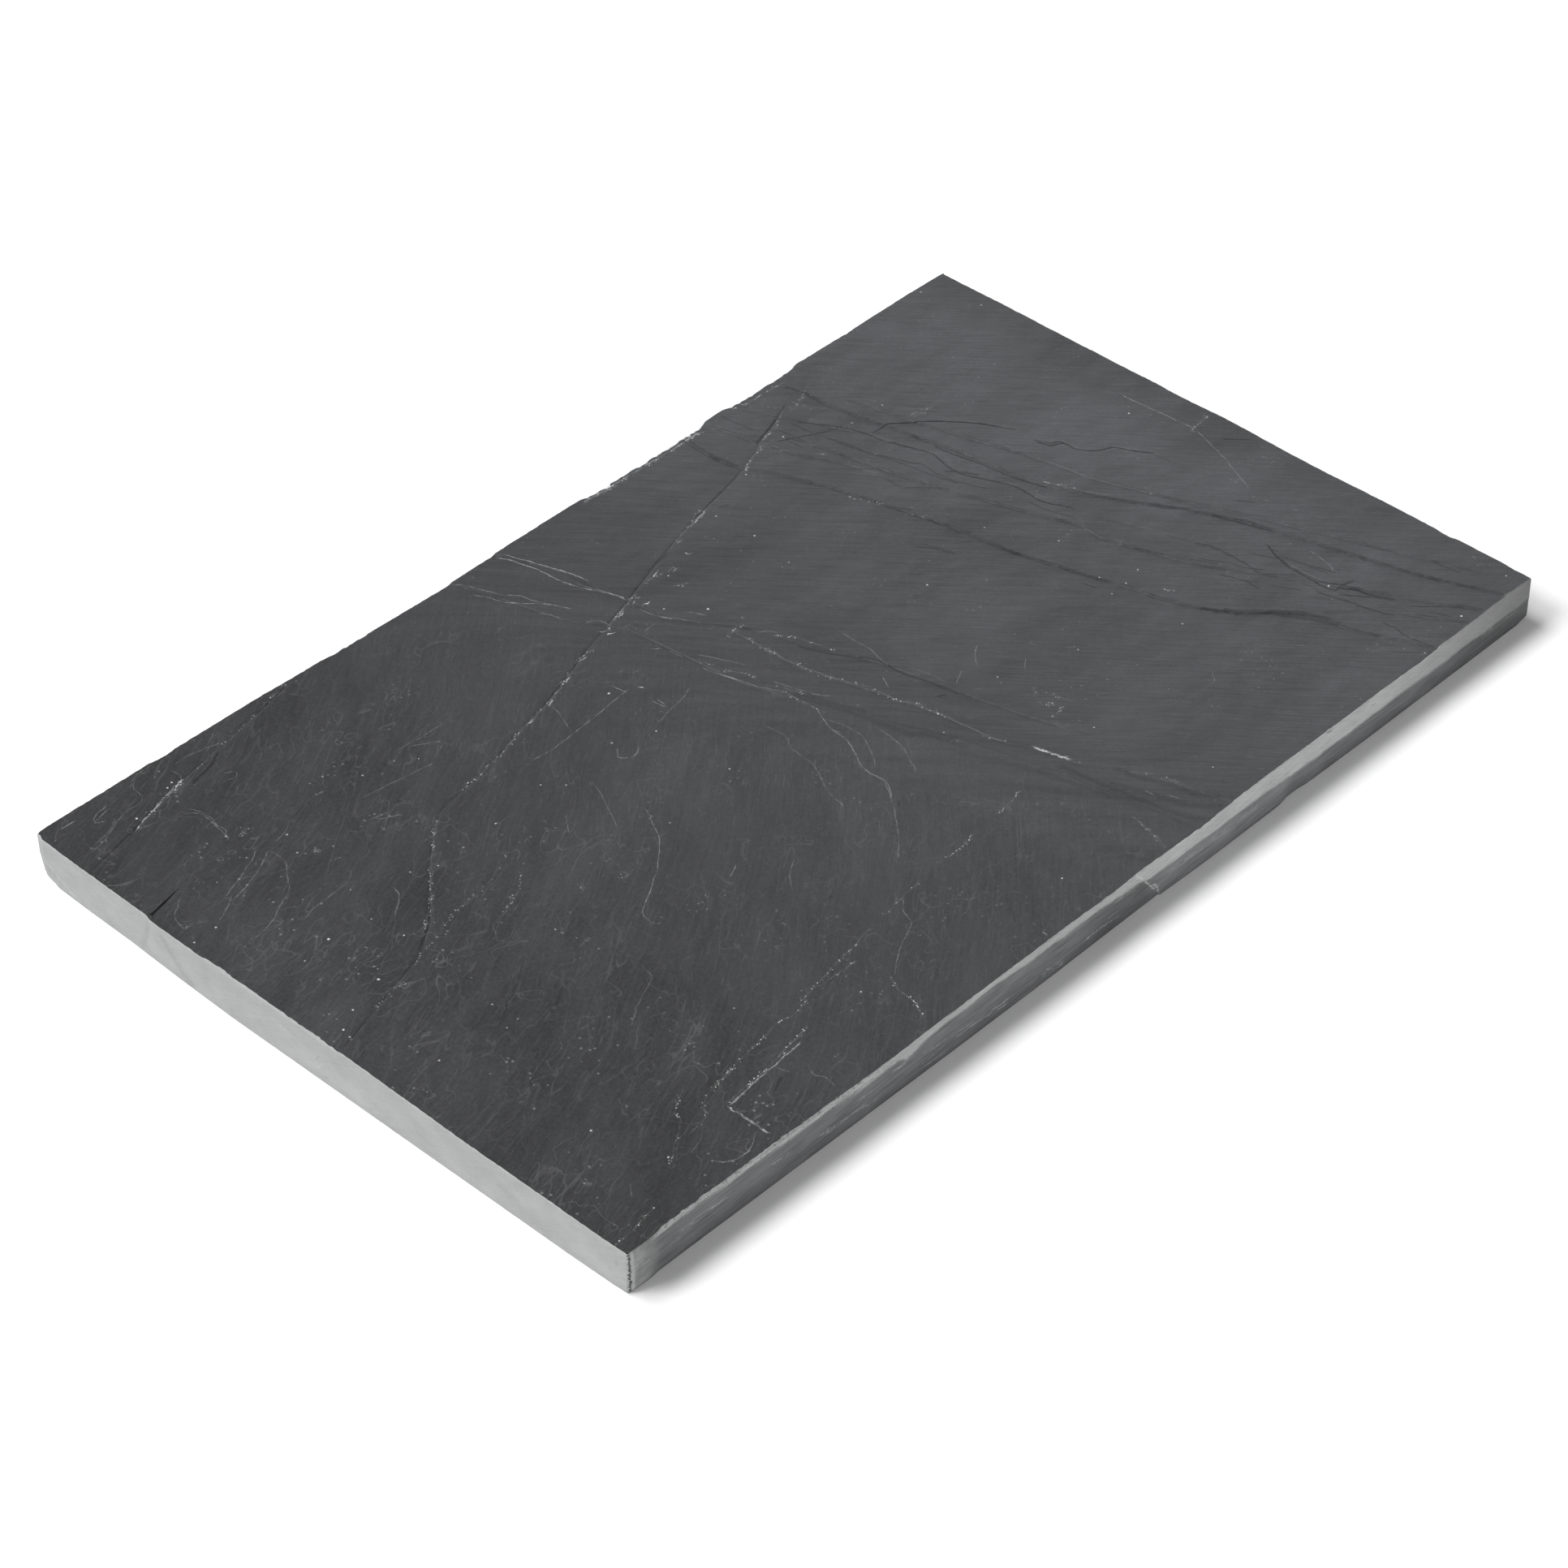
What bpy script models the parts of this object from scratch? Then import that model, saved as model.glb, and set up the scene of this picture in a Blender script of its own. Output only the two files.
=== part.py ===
"""A slate slab, about 800 x 500 x 30 mm: riven top, sawn and snapped sides, flat underside, one solid.

The tables are in millimetres, measured from the slab's near left corner: x runs along the front long side and y
along the left short side. The mesh is in metres, with its origin at the middle of the underside.
"""

import math

import bpy
import numpy as np
from mathutils import Vector, noise
from mathutils.geometry import delaunay_2d_cdt

MM = 0.001
LENGTH = 800.0
WIDTH = 500.0

# Facet sizes of the faceted solid.
GRID_STEP = 14.5
EDGE_STEP = 10.0
CURVE_STEP = 12.0
LIP_CLEARANCE = 5.0
EDGE_CLEARANCE = 4.5
OPEN_END_CLEARANCE = 8.5
SEED = 7

# The arris where the top meets a side is broken off by this much, and the sole's arris by that much.
ARRIS_WEAR = 0.7
SOLE_WEAR = 0.6
FOOT_HEIGHT = 2.5
CLIP_REACH = 10.0

# Each side: (distance along it, value). "out" values stand proud of the 800 x 500 rectangle.
FRONT_HEIGHT = [
    (0, 29.9), (50, 31.2), (150, 30.9), (182, 30.1), (215, 29.6), (250, 30.4), (350, 30.4), (400, 29.7),
    (422, 30.8), (473, 29.4), (500, 30.9), (560, 31.0), (596, 30.5), (601, 30.3), (606, 30.4), (650, 30.8),
    (690, 30.1), (702, 30.9), (740, 31.2), (765, 31.5), (800, 30.9),
]
RIGHT_HEIGHT = [(0, 30.9), (250, 30.7), (500, 30.5)]
BACK_HEIGHT = [
    (0, 31.1), (90, 31.1), (180, 30.8), (230, 30.2), (283, 29.6), (330, 29.3), (372, 29.6), (390, 30.0),
    (560, 30.0), (576, 30.4), (590, 30.2), (640, 30.1), (655, 30.6), (800, 30.5),
]
LEFT_HEIGHT = [(0, 29.9), (75, 31.0), (222, 31.4), (232, 31.0), (350, 30.9), (395, 30.3), (399, 30.7), (500, 31.1)]

FRONT_OUT = [(0, 0.1), (50, -0.1), (215, 0.3), (420, 0.2), (475, 0.4), (500, 0.1), (760, -0.2), (800, 0.0)]
RIGHT_OUT = [
    (0, 0.6), (4, 0.4), (13, 0.0), (21, 1.0), (30, 1.1), (58, 0.8), (63, -0.6), (69, -0.6), (76, 0.6), (110, 0.5),
    (170, -0.4), (200, -0.1), (240, 1.2), (290, -0.1), (310, 0.6), (340, -0.2), (440, -0.1), (480, -0.9),
    (500, -1.2),
]
BACK_OUT = [
    (0, 1.9), (25, 2.1), (88, 1.8), (95, 0.4), (102, 0.4), (112, 1.3), (178, 0.8), (230, -0.2), (283, -1.4),
    (330, -1.7), (367, -0.9), (382, -0.4), (426, 0.0), (452, 0.0), (456, -0.7), (560, -1.0), (570, 0.1),
    (586, 0.3), (590, -0.8), (628, -0.9), (648, -0.2), (653, 0.6), (699, 0.2), (702, -0.6), (705, 0.2),
    (766, 0.9), (800, 0.2),
]
LEFT_OUT = [
    (0, 0.8), (33, 1.6), (77, 2.2), (110, 2.7), (175, 2.4), (222, 1.9), (245, 2.5), (343, 2.3), (348, 3.1),
    (393, 2.3), (398, 1.3), (440, 1.0), (485, 0.3), (500, 0.0),
]

# The front side was sawn down to a crease, then snapped. A slanting break crosses it: right of the break the
# snapped stone stands further out. The break's place is given where it meets the top and the floor.
BREAK_TOP = 419.0
BREAK_FOOT = 441.0
BREAK_STEP = 1.1
BREAK_WIDTH = 2.5
CREASE_HEIGHT = [
    (0, 22.0), (20, 23.0), (30, 25.2), (130, 24.3), (215, 23.2), (222, 20.5), (228, 21.5), (240, 24.8),
    (290, 25.4), (350, 23.4), (400, 23.0), (418, 21.0), (426, 20.0), (500, 19.0), (560, 18.0), (610, 16.6),
    (650, 17.0), (700, 16.0), (800, 15.5),
]
FRONT_CREASE_OUT = [(0, 0.6), (18, 0.5), (24, -0.5), (130, -0.3), (250, -0.4), (800, -0.6)]
FRONT_FOOT_OUT = [
    (0, 0.5), (16, 0.3), (22, -0.4), (150, 0.2), (250, 0.8), (330, 0.9), (400, 0.1), (440, -0.2),
    (490, 0.6), (552, 0.1), (562, -1.6), (572, -1.4), (580, -0.5), (640, 0.0), (800, -0.3),
]
RIGHT_FOOT_OUT = [(0, 0.0), (60, 0.9), (240, 0.9), (400, 0.2), (500, -0.8)]
BACK_FOOT_OUT = [(0, 1.2), (120, 1.4), (330, -0.8), (450, 0.3), (600, 0.0), (800, 0.4)]
LEFT_FOOT_OUT = [
    (0, 2.0), (46, 2.9), (119, 3.3), (149, 3.6), (223, 4.0), (322, 4.6), (366, 3.8), (389, 3.1), (416, 2.2),
    (454, 1.8), (480, 1.2), (500, 0.2),
]
MIDDLE_HEIGHT = 16.0

# Each corner: plan radius, and how far its lowest point is clipped back. Order: front left, front right, back
# right, back left.
CORNERS = [(1.2, 0.6), (1.6, 1.2), (1.6, 1.0), (5.5, 4.0)]

# Stretches of arris that are spalled wider: side, from, to, extra wear.
SPALLS = [("back", 455, 562, 1.9), ("back", 586, 650, 1.4), ("front", 0, 8, 0.6), ("front", 30, 128, 0.5)]
RAGGED_ARRIS = ("left", 235, 345)
RAGGED_DEPTH = 0.8

# Ledges of the riven top: how much the surface rises on the +x side, and the line of the ledge.
LEDGE_RAMP = 2.4
LEDGE_REACH = 30.0
LEDGE_FADE = 30.0
LEDGES = [
    (1.1, [(543, 497), (542, 470), (546, 447), (556, 428), (566, 400), (573, 380), (580, 350), (587, 325),
           (593, 300), (597, 272), (603, 245), (612, 215), (621, 180), (629, 153), (638, 131), (650, 111),
           (663, 98), (674, 84), (682, 68), (684, 52), (691, 34), (700, 13), (704, 3)]),
    (0.7, [(565, 497), (569, 475), (577, 440), (583, 425), (596, 398), (601, 380), (602, 358)]),
    (0.8, [(590, 448), (597, 425), (603, 400), (608, 375), (614, 350), (619, 332), (628, 305), (637, 278),
           (646, 252), (649, 222), (658, 193), (668, 165), (686, 132), (698, 111), (709, 90), (719, 68),
           (733, 40), (744, 20), (753, 3)]),
    (0.5, [(592, 490), (600, 472), (613, 450), (620, 431), (629, 412), (634, 390), (643, 362), (640, 344),
           (650, 315), (654, 290), (656, 275), (660, 256)]),
    (1.1, [(630, 487), (634, 470), (635, 450), (639, 428), (645, 398), (651, 368), (658, 335), (662, 303),
           (668, 283), (680, 257), (694, 230), (708, 203), (722, 172), (729, 150), (734, 130), (740, 107),
           (747, 83), (753, 60), (760, 40), (768, 20), (774, 3)]),
    (0.7, [(647, 445), (653, 420), (659, 400), (665, 375), (672, 350), (678, 330), (686, 302), (691, 275),
           (698, 252), (711, 214), (722, 188), (731, 165), (741, 138), (751, 112), (761, 85), (768, 63),
           (775, 45), (782, 27)]),
    (0.4, [(663, 240), (671, 218), (679, 195), (686, 175), (691, 143)]),
    (0.5, [(699, 103), (702, 85), (705, 68), (711, 52), (716, 40), (723, 24), (731, 12), (737, 3)]),
    (1.0, [(336, 497), (341, 480), (350, 450), (356, 428), (364, 407), (374, 392), (380, 373), (383, 345),
           (385, 322), (388, 300), (394, 278), (402, 255)]),
    (-1.0, [(402, 262), (408, 238), (414, 220), (430, 182), (446, 140), (457, 92), (462, 68), (468, 45),
            (472, 22), (475, 3)]),
    (0.9, [(373, 497), (381, 478), (389, 460), (393, 440), (394, 420), (399, 400), (402, 375), (411, 355),
           (422, 338), (433, 318), (441, 292), (452, 268), (460, 245), (466, 222), (472, 200), (477, 172),
           (484, 147), (490, 122), (495, 104)]),
    (0.8, [(415, 350), (421, 330), (423, 300), (425, 275), (432, 250), (438, 225), (446, 197), (452, 165),
           (456, 140), (466, 118), (471, 95), (478, 80), (486, 65), (494, 45), (500, 25), (506, 3)]),
]

# Open seams and cracks: depth, width, how far the +y side lies above the other, and the line.
SEAMS = [
    (0.8, 2.6, -0.4, [(3, 231), (27, 238), (50, 245), (75, 253), (92, 262), (110, 275), (130, 297), (148, 315),
                      (175, 338), (200, 345), (225, 348), (258, 359), (290, 367), (320, 377), (350, 388),
                      (400, 403), (437, 416), (475, 428), (512, 437), (548, 446), (577, 458), (615, 473)]),
    (0.4, 2.2, -0.3, [(4, 452), (47, 462), (70, 468), (93, 475), (125, 481), (165, 489), (193, 496)]),
    (1.6, 1.4, 0.5, [(3, 397), (12, 399), (27, 402)]),
    (0.8, 1.4, 0.0, [(633, 410), (645, 409), (653, 402), (670, 386), (686, 365), (697, 343)]),
    (0.8, 1.4, 0.0, [(697, 325), (703, 315), (708, 313), (709, 299), (717, 288), (727, 283), (733, 270),
                     (739, 260)]),
    (0.7, 1.4, 0.0, [(709, 130), (707, 118), (708, 95), (714, 83), (719, 71)]),
]
SEAM_REACH = 25.0
SEAM_FADE = 14.0

# Broad waves of the riven face.
WAVE_HEIGHT = 0.45
WAVE_LENGTH = 95.0

SLATE_GREY = (0.075, 0.079, 0.083, 1.0)


def along(table, distance):
    """The value of a side's table at a distance, or at an array of distances."""
    stations, values = zip(*table, strict=True)
    return np.interp(distance, stations, values)


def smooth_line(points, step):
    """A Catmull-Rom curve through the points, with a point about every step."""
    p = np.array(points, float)
    p = np.vstack([2 * p[0] - p[1], p, 2 * p[-1] - p[-2]])
    line = []
    for a, b, c, d in zip(p, p[1:], p[2:], p[3:]):
        count = max(1, round(math.dist(b, c) / step))
        for t in np.arange(count) / count:
            line.append(0.5 * (2 * b + (c - a) * t + (2 * a - 5 * b + 4 * c - d) * t**2
                               + (3 * b - a - 3 * c + d) * t**3))
    line.append(p[-2])
    return np.array(line)


def nearest_on(line, points):
    """For each point: signed distance to the line (left of its travel is positive), and arc length there."""
    best = np.full(len(points), np.inf)
    signed = np.zeros(len(points))
    run = np.zeros(len(points))
    start = 0.0
    for a, b in zip(line, line[1:]):
        length = math.dist(a, b)
        tangent = (b - a) / length
        offset = points - a
        t = np.clip(offset @ tangent, 0.0, length)
        distance = np.hypot(*(offset - t[:, None] * tangent).T)
        side = np.where(tangent[0] * offset[:, 1] - tangent[1] * offset[:, 0] < 0.0, -1.0, 1.0)
        closer = distance < best
        best[closer] = distance[closer]
        signed[closer] = (side * distance)[closer]
        run[closer] = start + t[closer]
        start += length
    return signed, run, start


def smoothstep(t):
    """Eases from 0 to 1 as t goes from 0 to 1."""
    t = np.clip(t, 0.0, 1.0)
    return t * t * (3.0 - 2.0 * t)


def clearance(points):
    """How far each point of the top lies inside the slab's upper outline."""
    x, y = points.T
    return np.minimum.reduce([
        y + along(FRONT_OUT, x), LENGTH - x + along(RIGHT_OUT, y),
        WIDTH - y + along(BACK_OUT, x), x + along(LEFT_OUT, y),
    ])


def base_height(x, y):
    """The top surface blended between the heights of its four arrises."""
    u = np.clip(x / LENGTH, 0.0, 1.0)
    v = np.clip(y / WIDTH, 0.0, 1.0)
    edges = ((1 - v) * along(FRONT_HEIGHT, x) + v * along(BACK_HEIGHT, x)
             + (1 - u) * along(LEFT_HEIGHT, y) + u * along(RIGHT_HEIGHT, y))
    corners = ((1 - u) * (1 - v) * FRONT_HEIGHT[0][1] + u * (1 - v) * FRONT_HEIGHT[-1][1]
               + (1 - u) * v * BACK_HEIGHT[0][1] + u * v * BACK_HEIGHT[-1][1])
    return edges - corners


def wave_height(x, y):
    """Slow waves of the cleavage, which die out at the arrises."""
    waves = np.array([noise.noise(Vector((a / WAVE_LENGTH, b / WAVE_LENGTH, 0.3))) for a, b in zip(x, y)])
    margin = np.clip(np.minimum(np.minimum(x, LENGTH - x), np.minimum(y, WIDTH - y)) / 40.0, 0.0, 1.0)
    return WAVE_HEIGHT * waves * margin


def open_fade(line, run, total, reach):
    """1 along a line's middle, easing to 0 at each end that stops short of the arris."""
    from_start, from_end = run, total - run
    if clearance(line[:1])[0] < OPEN_END_CLEARANCE:
        from_start = np.full_like(run, reach)
    if clearance(line[-1:])[0] < OPEN_END_CLEARANCE:
        from_end = np.full_like(run, reach)
    return smoothstep(np.minimum(from_start, from_end) / reach)


def step_across(signed, width, reach):
    """From -0.5 to 0.5 across a line, dying away to both sides."""
    ramp = np.clip(2.0 * signed / width, -1.0, 1.0)
    away = np.maximum(np.abs(signed) - width / 2, 0.0)
    return 0.5 * ramp * np.exp(-away / reach)


def top_height(points, ledges, seams):
    """The height of the riven top at an array of points."""
    x, y = points.T
    height = base_height(x, y) + wave_height(x, y)
    for rise, line in ledges:
        signed, run, total = nearest_on(line, points)
        height += rise * step_across(signed, LEDGE_RAMP, LEDGE_REACH) * open_fade(line, run, total, LEDGE_FADE)
    for depth, width, rise, line in seams:
        signed, run, total = nearest_on(line, points)
        groove = np.clip(1.0 - 2.0 * np.abs(signed) / width, 0.0, 1.0)
        shape = rise * step_across(signed, width, SEAM_REACH) - depth * groove
        height += shape * open_fade(line, run, total, SEAM_FADE)
    return height


# The sides in order round the outline: start, direction, outward, length, which way its tables run, and tables.
SIDES = [
    ("front", (0, 0), (1, 0), (0, -1), LENGTH, False, FRONT_OUT, FRONT_CREASE_OUT, FRONT_FOOT_OUT),
    ("right", (LENGTH, 0), (0, 1), (1, 0), WIDTH, False, RIGHT_OUT, RIGHT_OUT, RIGHT_FOOT_OUT),
    ("back", (LENGTH, WIDTH), (-1, 0), (0, 1), LENGTH, True, BACK_OUT, BACK_OUT, BACK_FOOT_OUT),
    ("left", (0, WIDTH), (0, -1), (-1, 0), WIDTH, True, LEFT_OUT, LEFT_OUT, LEFT_FOOT_OUT),
]


def side_stations(length, first_radius, last_radius):
    """Distances along a side, close together beside its corners."""
    near = [0.0, 3.0, CLIP_REACH * 0.7]
    first = [first_radius + d for d in near]
    last = [length - last_radius - d for d in reversed(near)]
    count = round((last[0] - first[-1]) / EDGE_STEP)
    middle = np.linspace(first[-1], last[0], count + 1)[1:-1]
    return first + list(middle) + last


def break_out(name, distance, height):
    """How much further out the front side lies for being right of the slanting break."""
    if name != "front":
        return 0.0
    break_at = BREAK_FOOT + (BREAK_TOP - BREAK_FOOT) * height / FRONT_HEIGHT[0][1]
    return BREAK_STEP * smoothstep(0.5 + (distance - break_at) / BREAK_WIDTH)


def spall(name, distance):
    """Extra wear of the arris at a point of a side."""
    extra = 0.0
    for side, start, end, wear in SPALLS:
        if side == name and start <= distance <= end:
            extra += wear * min(1.0, (distance - start) / 8.0 + 0.3, (end - distance) / 8.0 + 0.3)
    return extra


def outline_stations(rng):
    """Each point round the slab: its place and outward direction, and what the rings need there."""
    stations = []
    for i, (name, start, direction, outward, length, reverse, top, crease, foot) in enumerate(SIDES):
        start, direction, outward = (np.array(v, float) for v in (start, direction, outward))
        first_radius, first_clip = CORNERS[i]
        last_radius, last_clip = CORNERS[(i + 1) % 4]
        for d in side_stations(length, first_radius, last_radius):
            table_d = length - d if reverse else d
            side, low, high = RAGGED_ARRIS
            ragged = side == name and low <= table_d <= high
            clip = max(
                first_clip * max(0.0, 1.0 - (d - first_radius) / CLIP_REACH),
                last_clip * max(0.0, 1.0 - (length - last_radius - d) / CLIP_REACH),
            )
            crease_height = along(CREASE_HEIGHT, d) if name == "front" else MIDDLE_HEIGHT
            stations.append({
                "base": start + d * direction,
                "outward": outward,
                "top": along(top, table_d),
                "crease": along(crease, table_d) + break_out(name, d, crease_height),
                "foot": along(foot, table_d) + break_out(name, d, FOOT_HEIGHT),
                "crease_height": crease_height,
                "wear": ARRIS_WEAR + spall(name, table_d) + (RAGGED_DEPTH * rng.random() if ragged else 0.0),
                "clip": clip,
            })
        stations.extend(corner_stations(i, stations[-1]))
    return stations


def corner_stations(i, last):
    """The points round the corner after side i."""
    _, start, direction, outward, length, reverse, top, crease, foot = SIDES[(i + 1) % 4]
    radius, clip = CORNERS[(i + 1) % 4]
    centre = np.array(start, float) + radius * np.array(direction, float) - radius * np.array(outward, float)
    turn_from = np.array(SIDES[i][3], float)
    turn_to = np.array(outward, float)
    next_d = length if reverse else 0.0
    steps = 3 if radius > 2.0 else 2
    points = []
    for k in range(1, steps):
        t = k / steps
        direction_out = math.cos(t * math.pi / 2) * turn_from + math.sin(t * math.pi / 2) * turn_to
        points.append({
            "base": centre + radius * direction_out,
            "outward": direction_out,
            "top": (1 - t) * last["top"] + t * along(top, next_d),
            "crease": (1 - t) * last["crease"] + t * along(crease, next_d),
            "foot": (1 - t) * last["foot"] + t * along(foot, next_d),
            "crease_height": last["crease_height"] if i == 0 else MIDDLE_HEIGHT,
            "wear": ARRIS_WEAR,
            "clip": clip,
        })
    return points


def ring(stations, out):
    """The plan positions of one ring, given how far out each station lies."""
    return np.array([s["base"] + o * s["outward"] for s, o in zip(stations, out, strict=True)])


def offset_line(line, distance):
    """The line shifted to its left by a distance."""
    tangent = np.gradient(line, axis=0)
    tangent /= np.hypot(*tangent.T)[:, None]
    return line + distance * np.column_stack([-tangent[:, 1], tangent[:, 0]])


def scatter(lines, rng):
    """Jittered points over the top, clear of the outline and of the ledges' and seams' lines."""
    xs = np.arange(GRID_STEP * 0.8, LENGTH, GRID_STEP)
    ys = np.arange(GRID_STEP * 0.8, WIDTH, GRID_STEP * 0.88)
    points = np.array([(x + GRID_STEP * 0.5 * (row % 2), y) for row, y in enumerate(ys) for x in xs])
    points += rng.uniform(-0.18, 0.18, points.shape) * GRID_STEP
    keep = clearance(points) > GRID_STEP * 0.6
    for line in lines:
        keep &= np.abs(nearest_on(line, points)[0]) > LIP_CLEARANCE
    return points[keep]


def triangulate_top(boundary, lines, loose):
    """Triangles of the top in plan. Returns the points, the faces, and where each boundary point went."""
    points = list(boundary)
    count = len(boundary)
    edges = [(i, (i + 1) % count) for i in range(count)]
    for line in lines:
        kept = clearance(line) > EDGE_CLEARANCE
        for i, (point, ok) in enumerate(zip(line, kept, strict=True)):
            if not ok:
                continue
            points.append(point)
            if i and kept[i - 1]:
                edges.append((len(points) - 2, len(points) - 1))
    points.extend(loose)
    out, _, faces, sources, _, _ = delaunay_2d_cdt([Vector(p) for p in points], edges, [], 1, 0.05)
    place = {source: i for i, group in enumerate(sources) for source in group}
    return np.array([tuple(p) for p in out]), faces, [place[i] for i in range(count)]


def build_slab():
    rng = np.random.default_rng(SEED)
    ledges = [(rise, smooth_line(points, CURVE_STEP)) for rise, points in LEDGES]
    seams = [(depth, width, rise, smooth_line(points, CURVE_STEP)) for depth, width, rise, points in SEAMS]
    lips = [offset_line(line, side * LEDGE_RAMP / 2) for _, line in ledges for side in (-1, 1)]
    lips += [offset_line(line, side * width / 2) for _, width, _, line in seams for side in (-1, 0, 1)]
    middles = [line for _, line in ledges] + [line for _, _, _, line in seams]

    stations = outline_stations(rng)
    arris = ring(stations, [s["top"] - s["wear"] for s in stations])
    brow = ring(stations, [s["top"] for s in stations])
    crease = ring(stations, [s["crease"] for s in stations])
    foot = ring(stations, [s["foot"] - 0.25 * s["clip"] for s in stations])
    sole = ring(stations, [s["foot"] - SOLE_WEAR - s["clip"] for s in stations])

    plan, faces, border = triangulate_top(arris, lips, scatter(middles, rng))
    top = np.column_stack([plan, top_height(plan, ledges, seams)])
    arris_height = top[border, 2]
    wear = np.array([s["wear"] for s in stations])
    lower_rings = [
        np.column_stack([brow, arris_height - wear]),
        np.column_stack([crease, [s["crease_height"] for s in stations]]),
        np.column_stack([foot, np.full(len(stations), FOOT_HEIGHT)]),
        np.column_stack([sole, np.zeros(len(stations))]),
    ]

    points = [top] + lower_rings
    polygons = [list(face) for face in faces]
    upper = border
    offset = len(top)
    count = len(stations)
    for _ in lower_rings:
        lower = [offset + i for i in range(count)]
        for i in range(count):
            j = (i + 1) % count
            polygons.append([upper[i], lower[i], lower[j], upper[j]])
        upper = lower
        offset += count
    polygons.append(list(reversed(upper)))
    points = np.vstack(points)
    centre = (points.min(axis=0) + points.max(axis=0)) / 2
    points -= (centre[0], centre[1], 0.0)
    return points * MM, polygons


def slate():
    material = bpy.data.materials.new("slate")
    material.use_nodes = True
    shader = material.node_tree.nodes["Principled BSDF"]
    shader.inputs["Base Color"].default_value = SLATE_GREY
    shader.inputs["Roughness"].default_value = 0.6
    shader.inputs["Metallic"].default_value = 0.0
    material.diffuse_color = SLATE_GREY
    return material


def main():
    for old in list(bpy.data.objects):
        bpy.data.objects.remove(old, do_unlink=True)
    points, polygons = build_slab()
    mesh = bpy.data.meshes.new("slab")
    mesh.from_pydata(points.tolist(), [], polygons)
    mesh.validate()
    slab = bpy.data.objects.new("slab", mesh)
    slab.data.materials.append(slate())
    bpy.context.scene.collection.objects.link(slab)


main()
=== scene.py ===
"""The looks of the slate slab: its riven stone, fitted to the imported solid, with a floor, light and camera.

The tables are in millimetres, measured from the slab's near left corner: x runs along the front long side and
y along the left short side. On a side, the points are the distance along it and the height. Meshes are in
metres.
"""

import math
from collections import namedtuple

import bpy
import numpy as np
from mathutils import Matrix, Vector, noise
from mathutils.geometry import delaunay_2d_cdt

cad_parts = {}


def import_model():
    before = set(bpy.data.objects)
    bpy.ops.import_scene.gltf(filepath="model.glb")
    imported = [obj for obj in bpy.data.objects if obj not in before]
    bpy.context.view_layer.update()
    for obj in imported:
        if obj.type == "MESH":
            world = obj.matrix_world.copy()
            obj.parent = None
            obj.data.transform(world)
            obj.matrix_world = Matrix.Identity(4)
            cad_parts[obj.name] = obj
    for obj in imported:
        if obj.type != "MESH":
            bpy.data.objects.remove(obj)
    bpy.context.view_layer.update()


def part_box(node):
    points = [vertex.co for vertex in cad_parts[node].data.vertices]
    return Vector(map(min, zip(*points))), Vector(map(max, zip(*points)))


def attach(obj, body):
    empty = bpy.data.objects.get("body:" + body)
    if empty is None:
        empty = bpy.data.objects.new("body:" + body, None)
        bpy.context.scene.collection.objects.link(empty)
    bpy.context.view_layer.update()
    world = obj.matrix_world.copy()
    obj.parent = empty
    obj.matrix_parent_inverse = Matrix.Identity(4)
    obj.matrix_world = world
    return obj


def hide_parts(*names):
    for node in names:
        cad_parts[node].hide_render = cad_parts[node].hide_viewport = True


def read_points(text):
    """The points written in a text as x,y."""
    return [tuple(map(float, word.split(","))) for word in text.split()]


def read_strokes(text):
    """The strokes written in a text: for each, its own numbers and then its points, written as x,y."""
    strokes = []
    for word in text.split():
        if "," in word:
            strokes[-1][-1].extend(read_points(word))
        elif strokes and not strokes[-1][-1]:
            strokes[-1].insert(-1, float(word))
        else:
            strokes.append([float(word), []])
    return strokes


MM = 0.001
LENGTH = 800.0
WIDTH = 500.0
SEED = 11

# Mesh steps: over the top, along its ledges, round the outline and its corners, and over the underside.
GRID_STEP = 2.62
LINE_STEP = 3.0
EDGE_STEP = 2.3
CORNER_STEP = 1.5
UNDERSIDE_STEP = 14.0
CURVE_STEP = 6.0
ROWS_ABOVE_CREASE = 4
ROWS_BELOW_CREASE = 5
# Loose points: their jitter and row spacing in steps, and how far they keep from the rim, in steps, and from
# the lines.
JITTER = 0.2
ROW_SPACING = 0.87
EDGE_MARGIN = 0.8
LINE_GAP = 1.9
# How near points are merged, and from what angle, in degrees, an edge is sharp.
MERGE_DISTANCE = 0.02
SHARP_ANGLE = 38.0

# Wear of the slab's arrises and sole. Along an arris it varies between its least share and its ragged one, by
# noises given as depth, wavelength and seed.
ARRIS_WEAR = 0.7
ARRIS_LEAST = 0.5
SPALL_LEAST = 0.4
SPALL_RAGGED = 1.6
RAGGED_NOISE = [(1.0, 5.0, 2.2), (0.5, 2.6, 8.8)]
SOLE_WEAR = 0.6
FOOT_HEIGHT = 2.5
CLIP_REACH = 10.0
FOOT_CLIP_SHARE = 0.25

# The slab's outline and heights, as in its solid.
FRONT_HEIGHT = read_points("""
0,29.9 50,31.2 150,30.9 182,30.1 215,29.6 250,30.4 350,30.4 400,29.7 422,30.8 473,29.4 500,30.9 560,31
596,30.5 601,30.3 606,30.4 650,30.8 690,30.1 702,30.9 740,31.2 765,31.5 800,30.9
""")
RIGHT_HEIGHT = read_points("0,30.9 250,30.7 500,30.5")
BACK_HEIGHT = read_points("""
0,31.1 90,31.1 180,30.8 230,30.2 283,29.6 330,29.3 372,29.6 390,30 560,30 576,30.4 590,30.2 640,30.1
655,30.6 800,30.5
""")
LEFT_HEIGHT = read_points("0,29.9 75,31 222,31.4 232,31 350,30.9 395,30.3 399,30.7 500,31.1")
FRONT_OUT = read_points("0,0.1 50,-0.1 215,0.3 420,0.2 475,0.4 500,0.1 760,-0.2 800,0")
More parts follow.
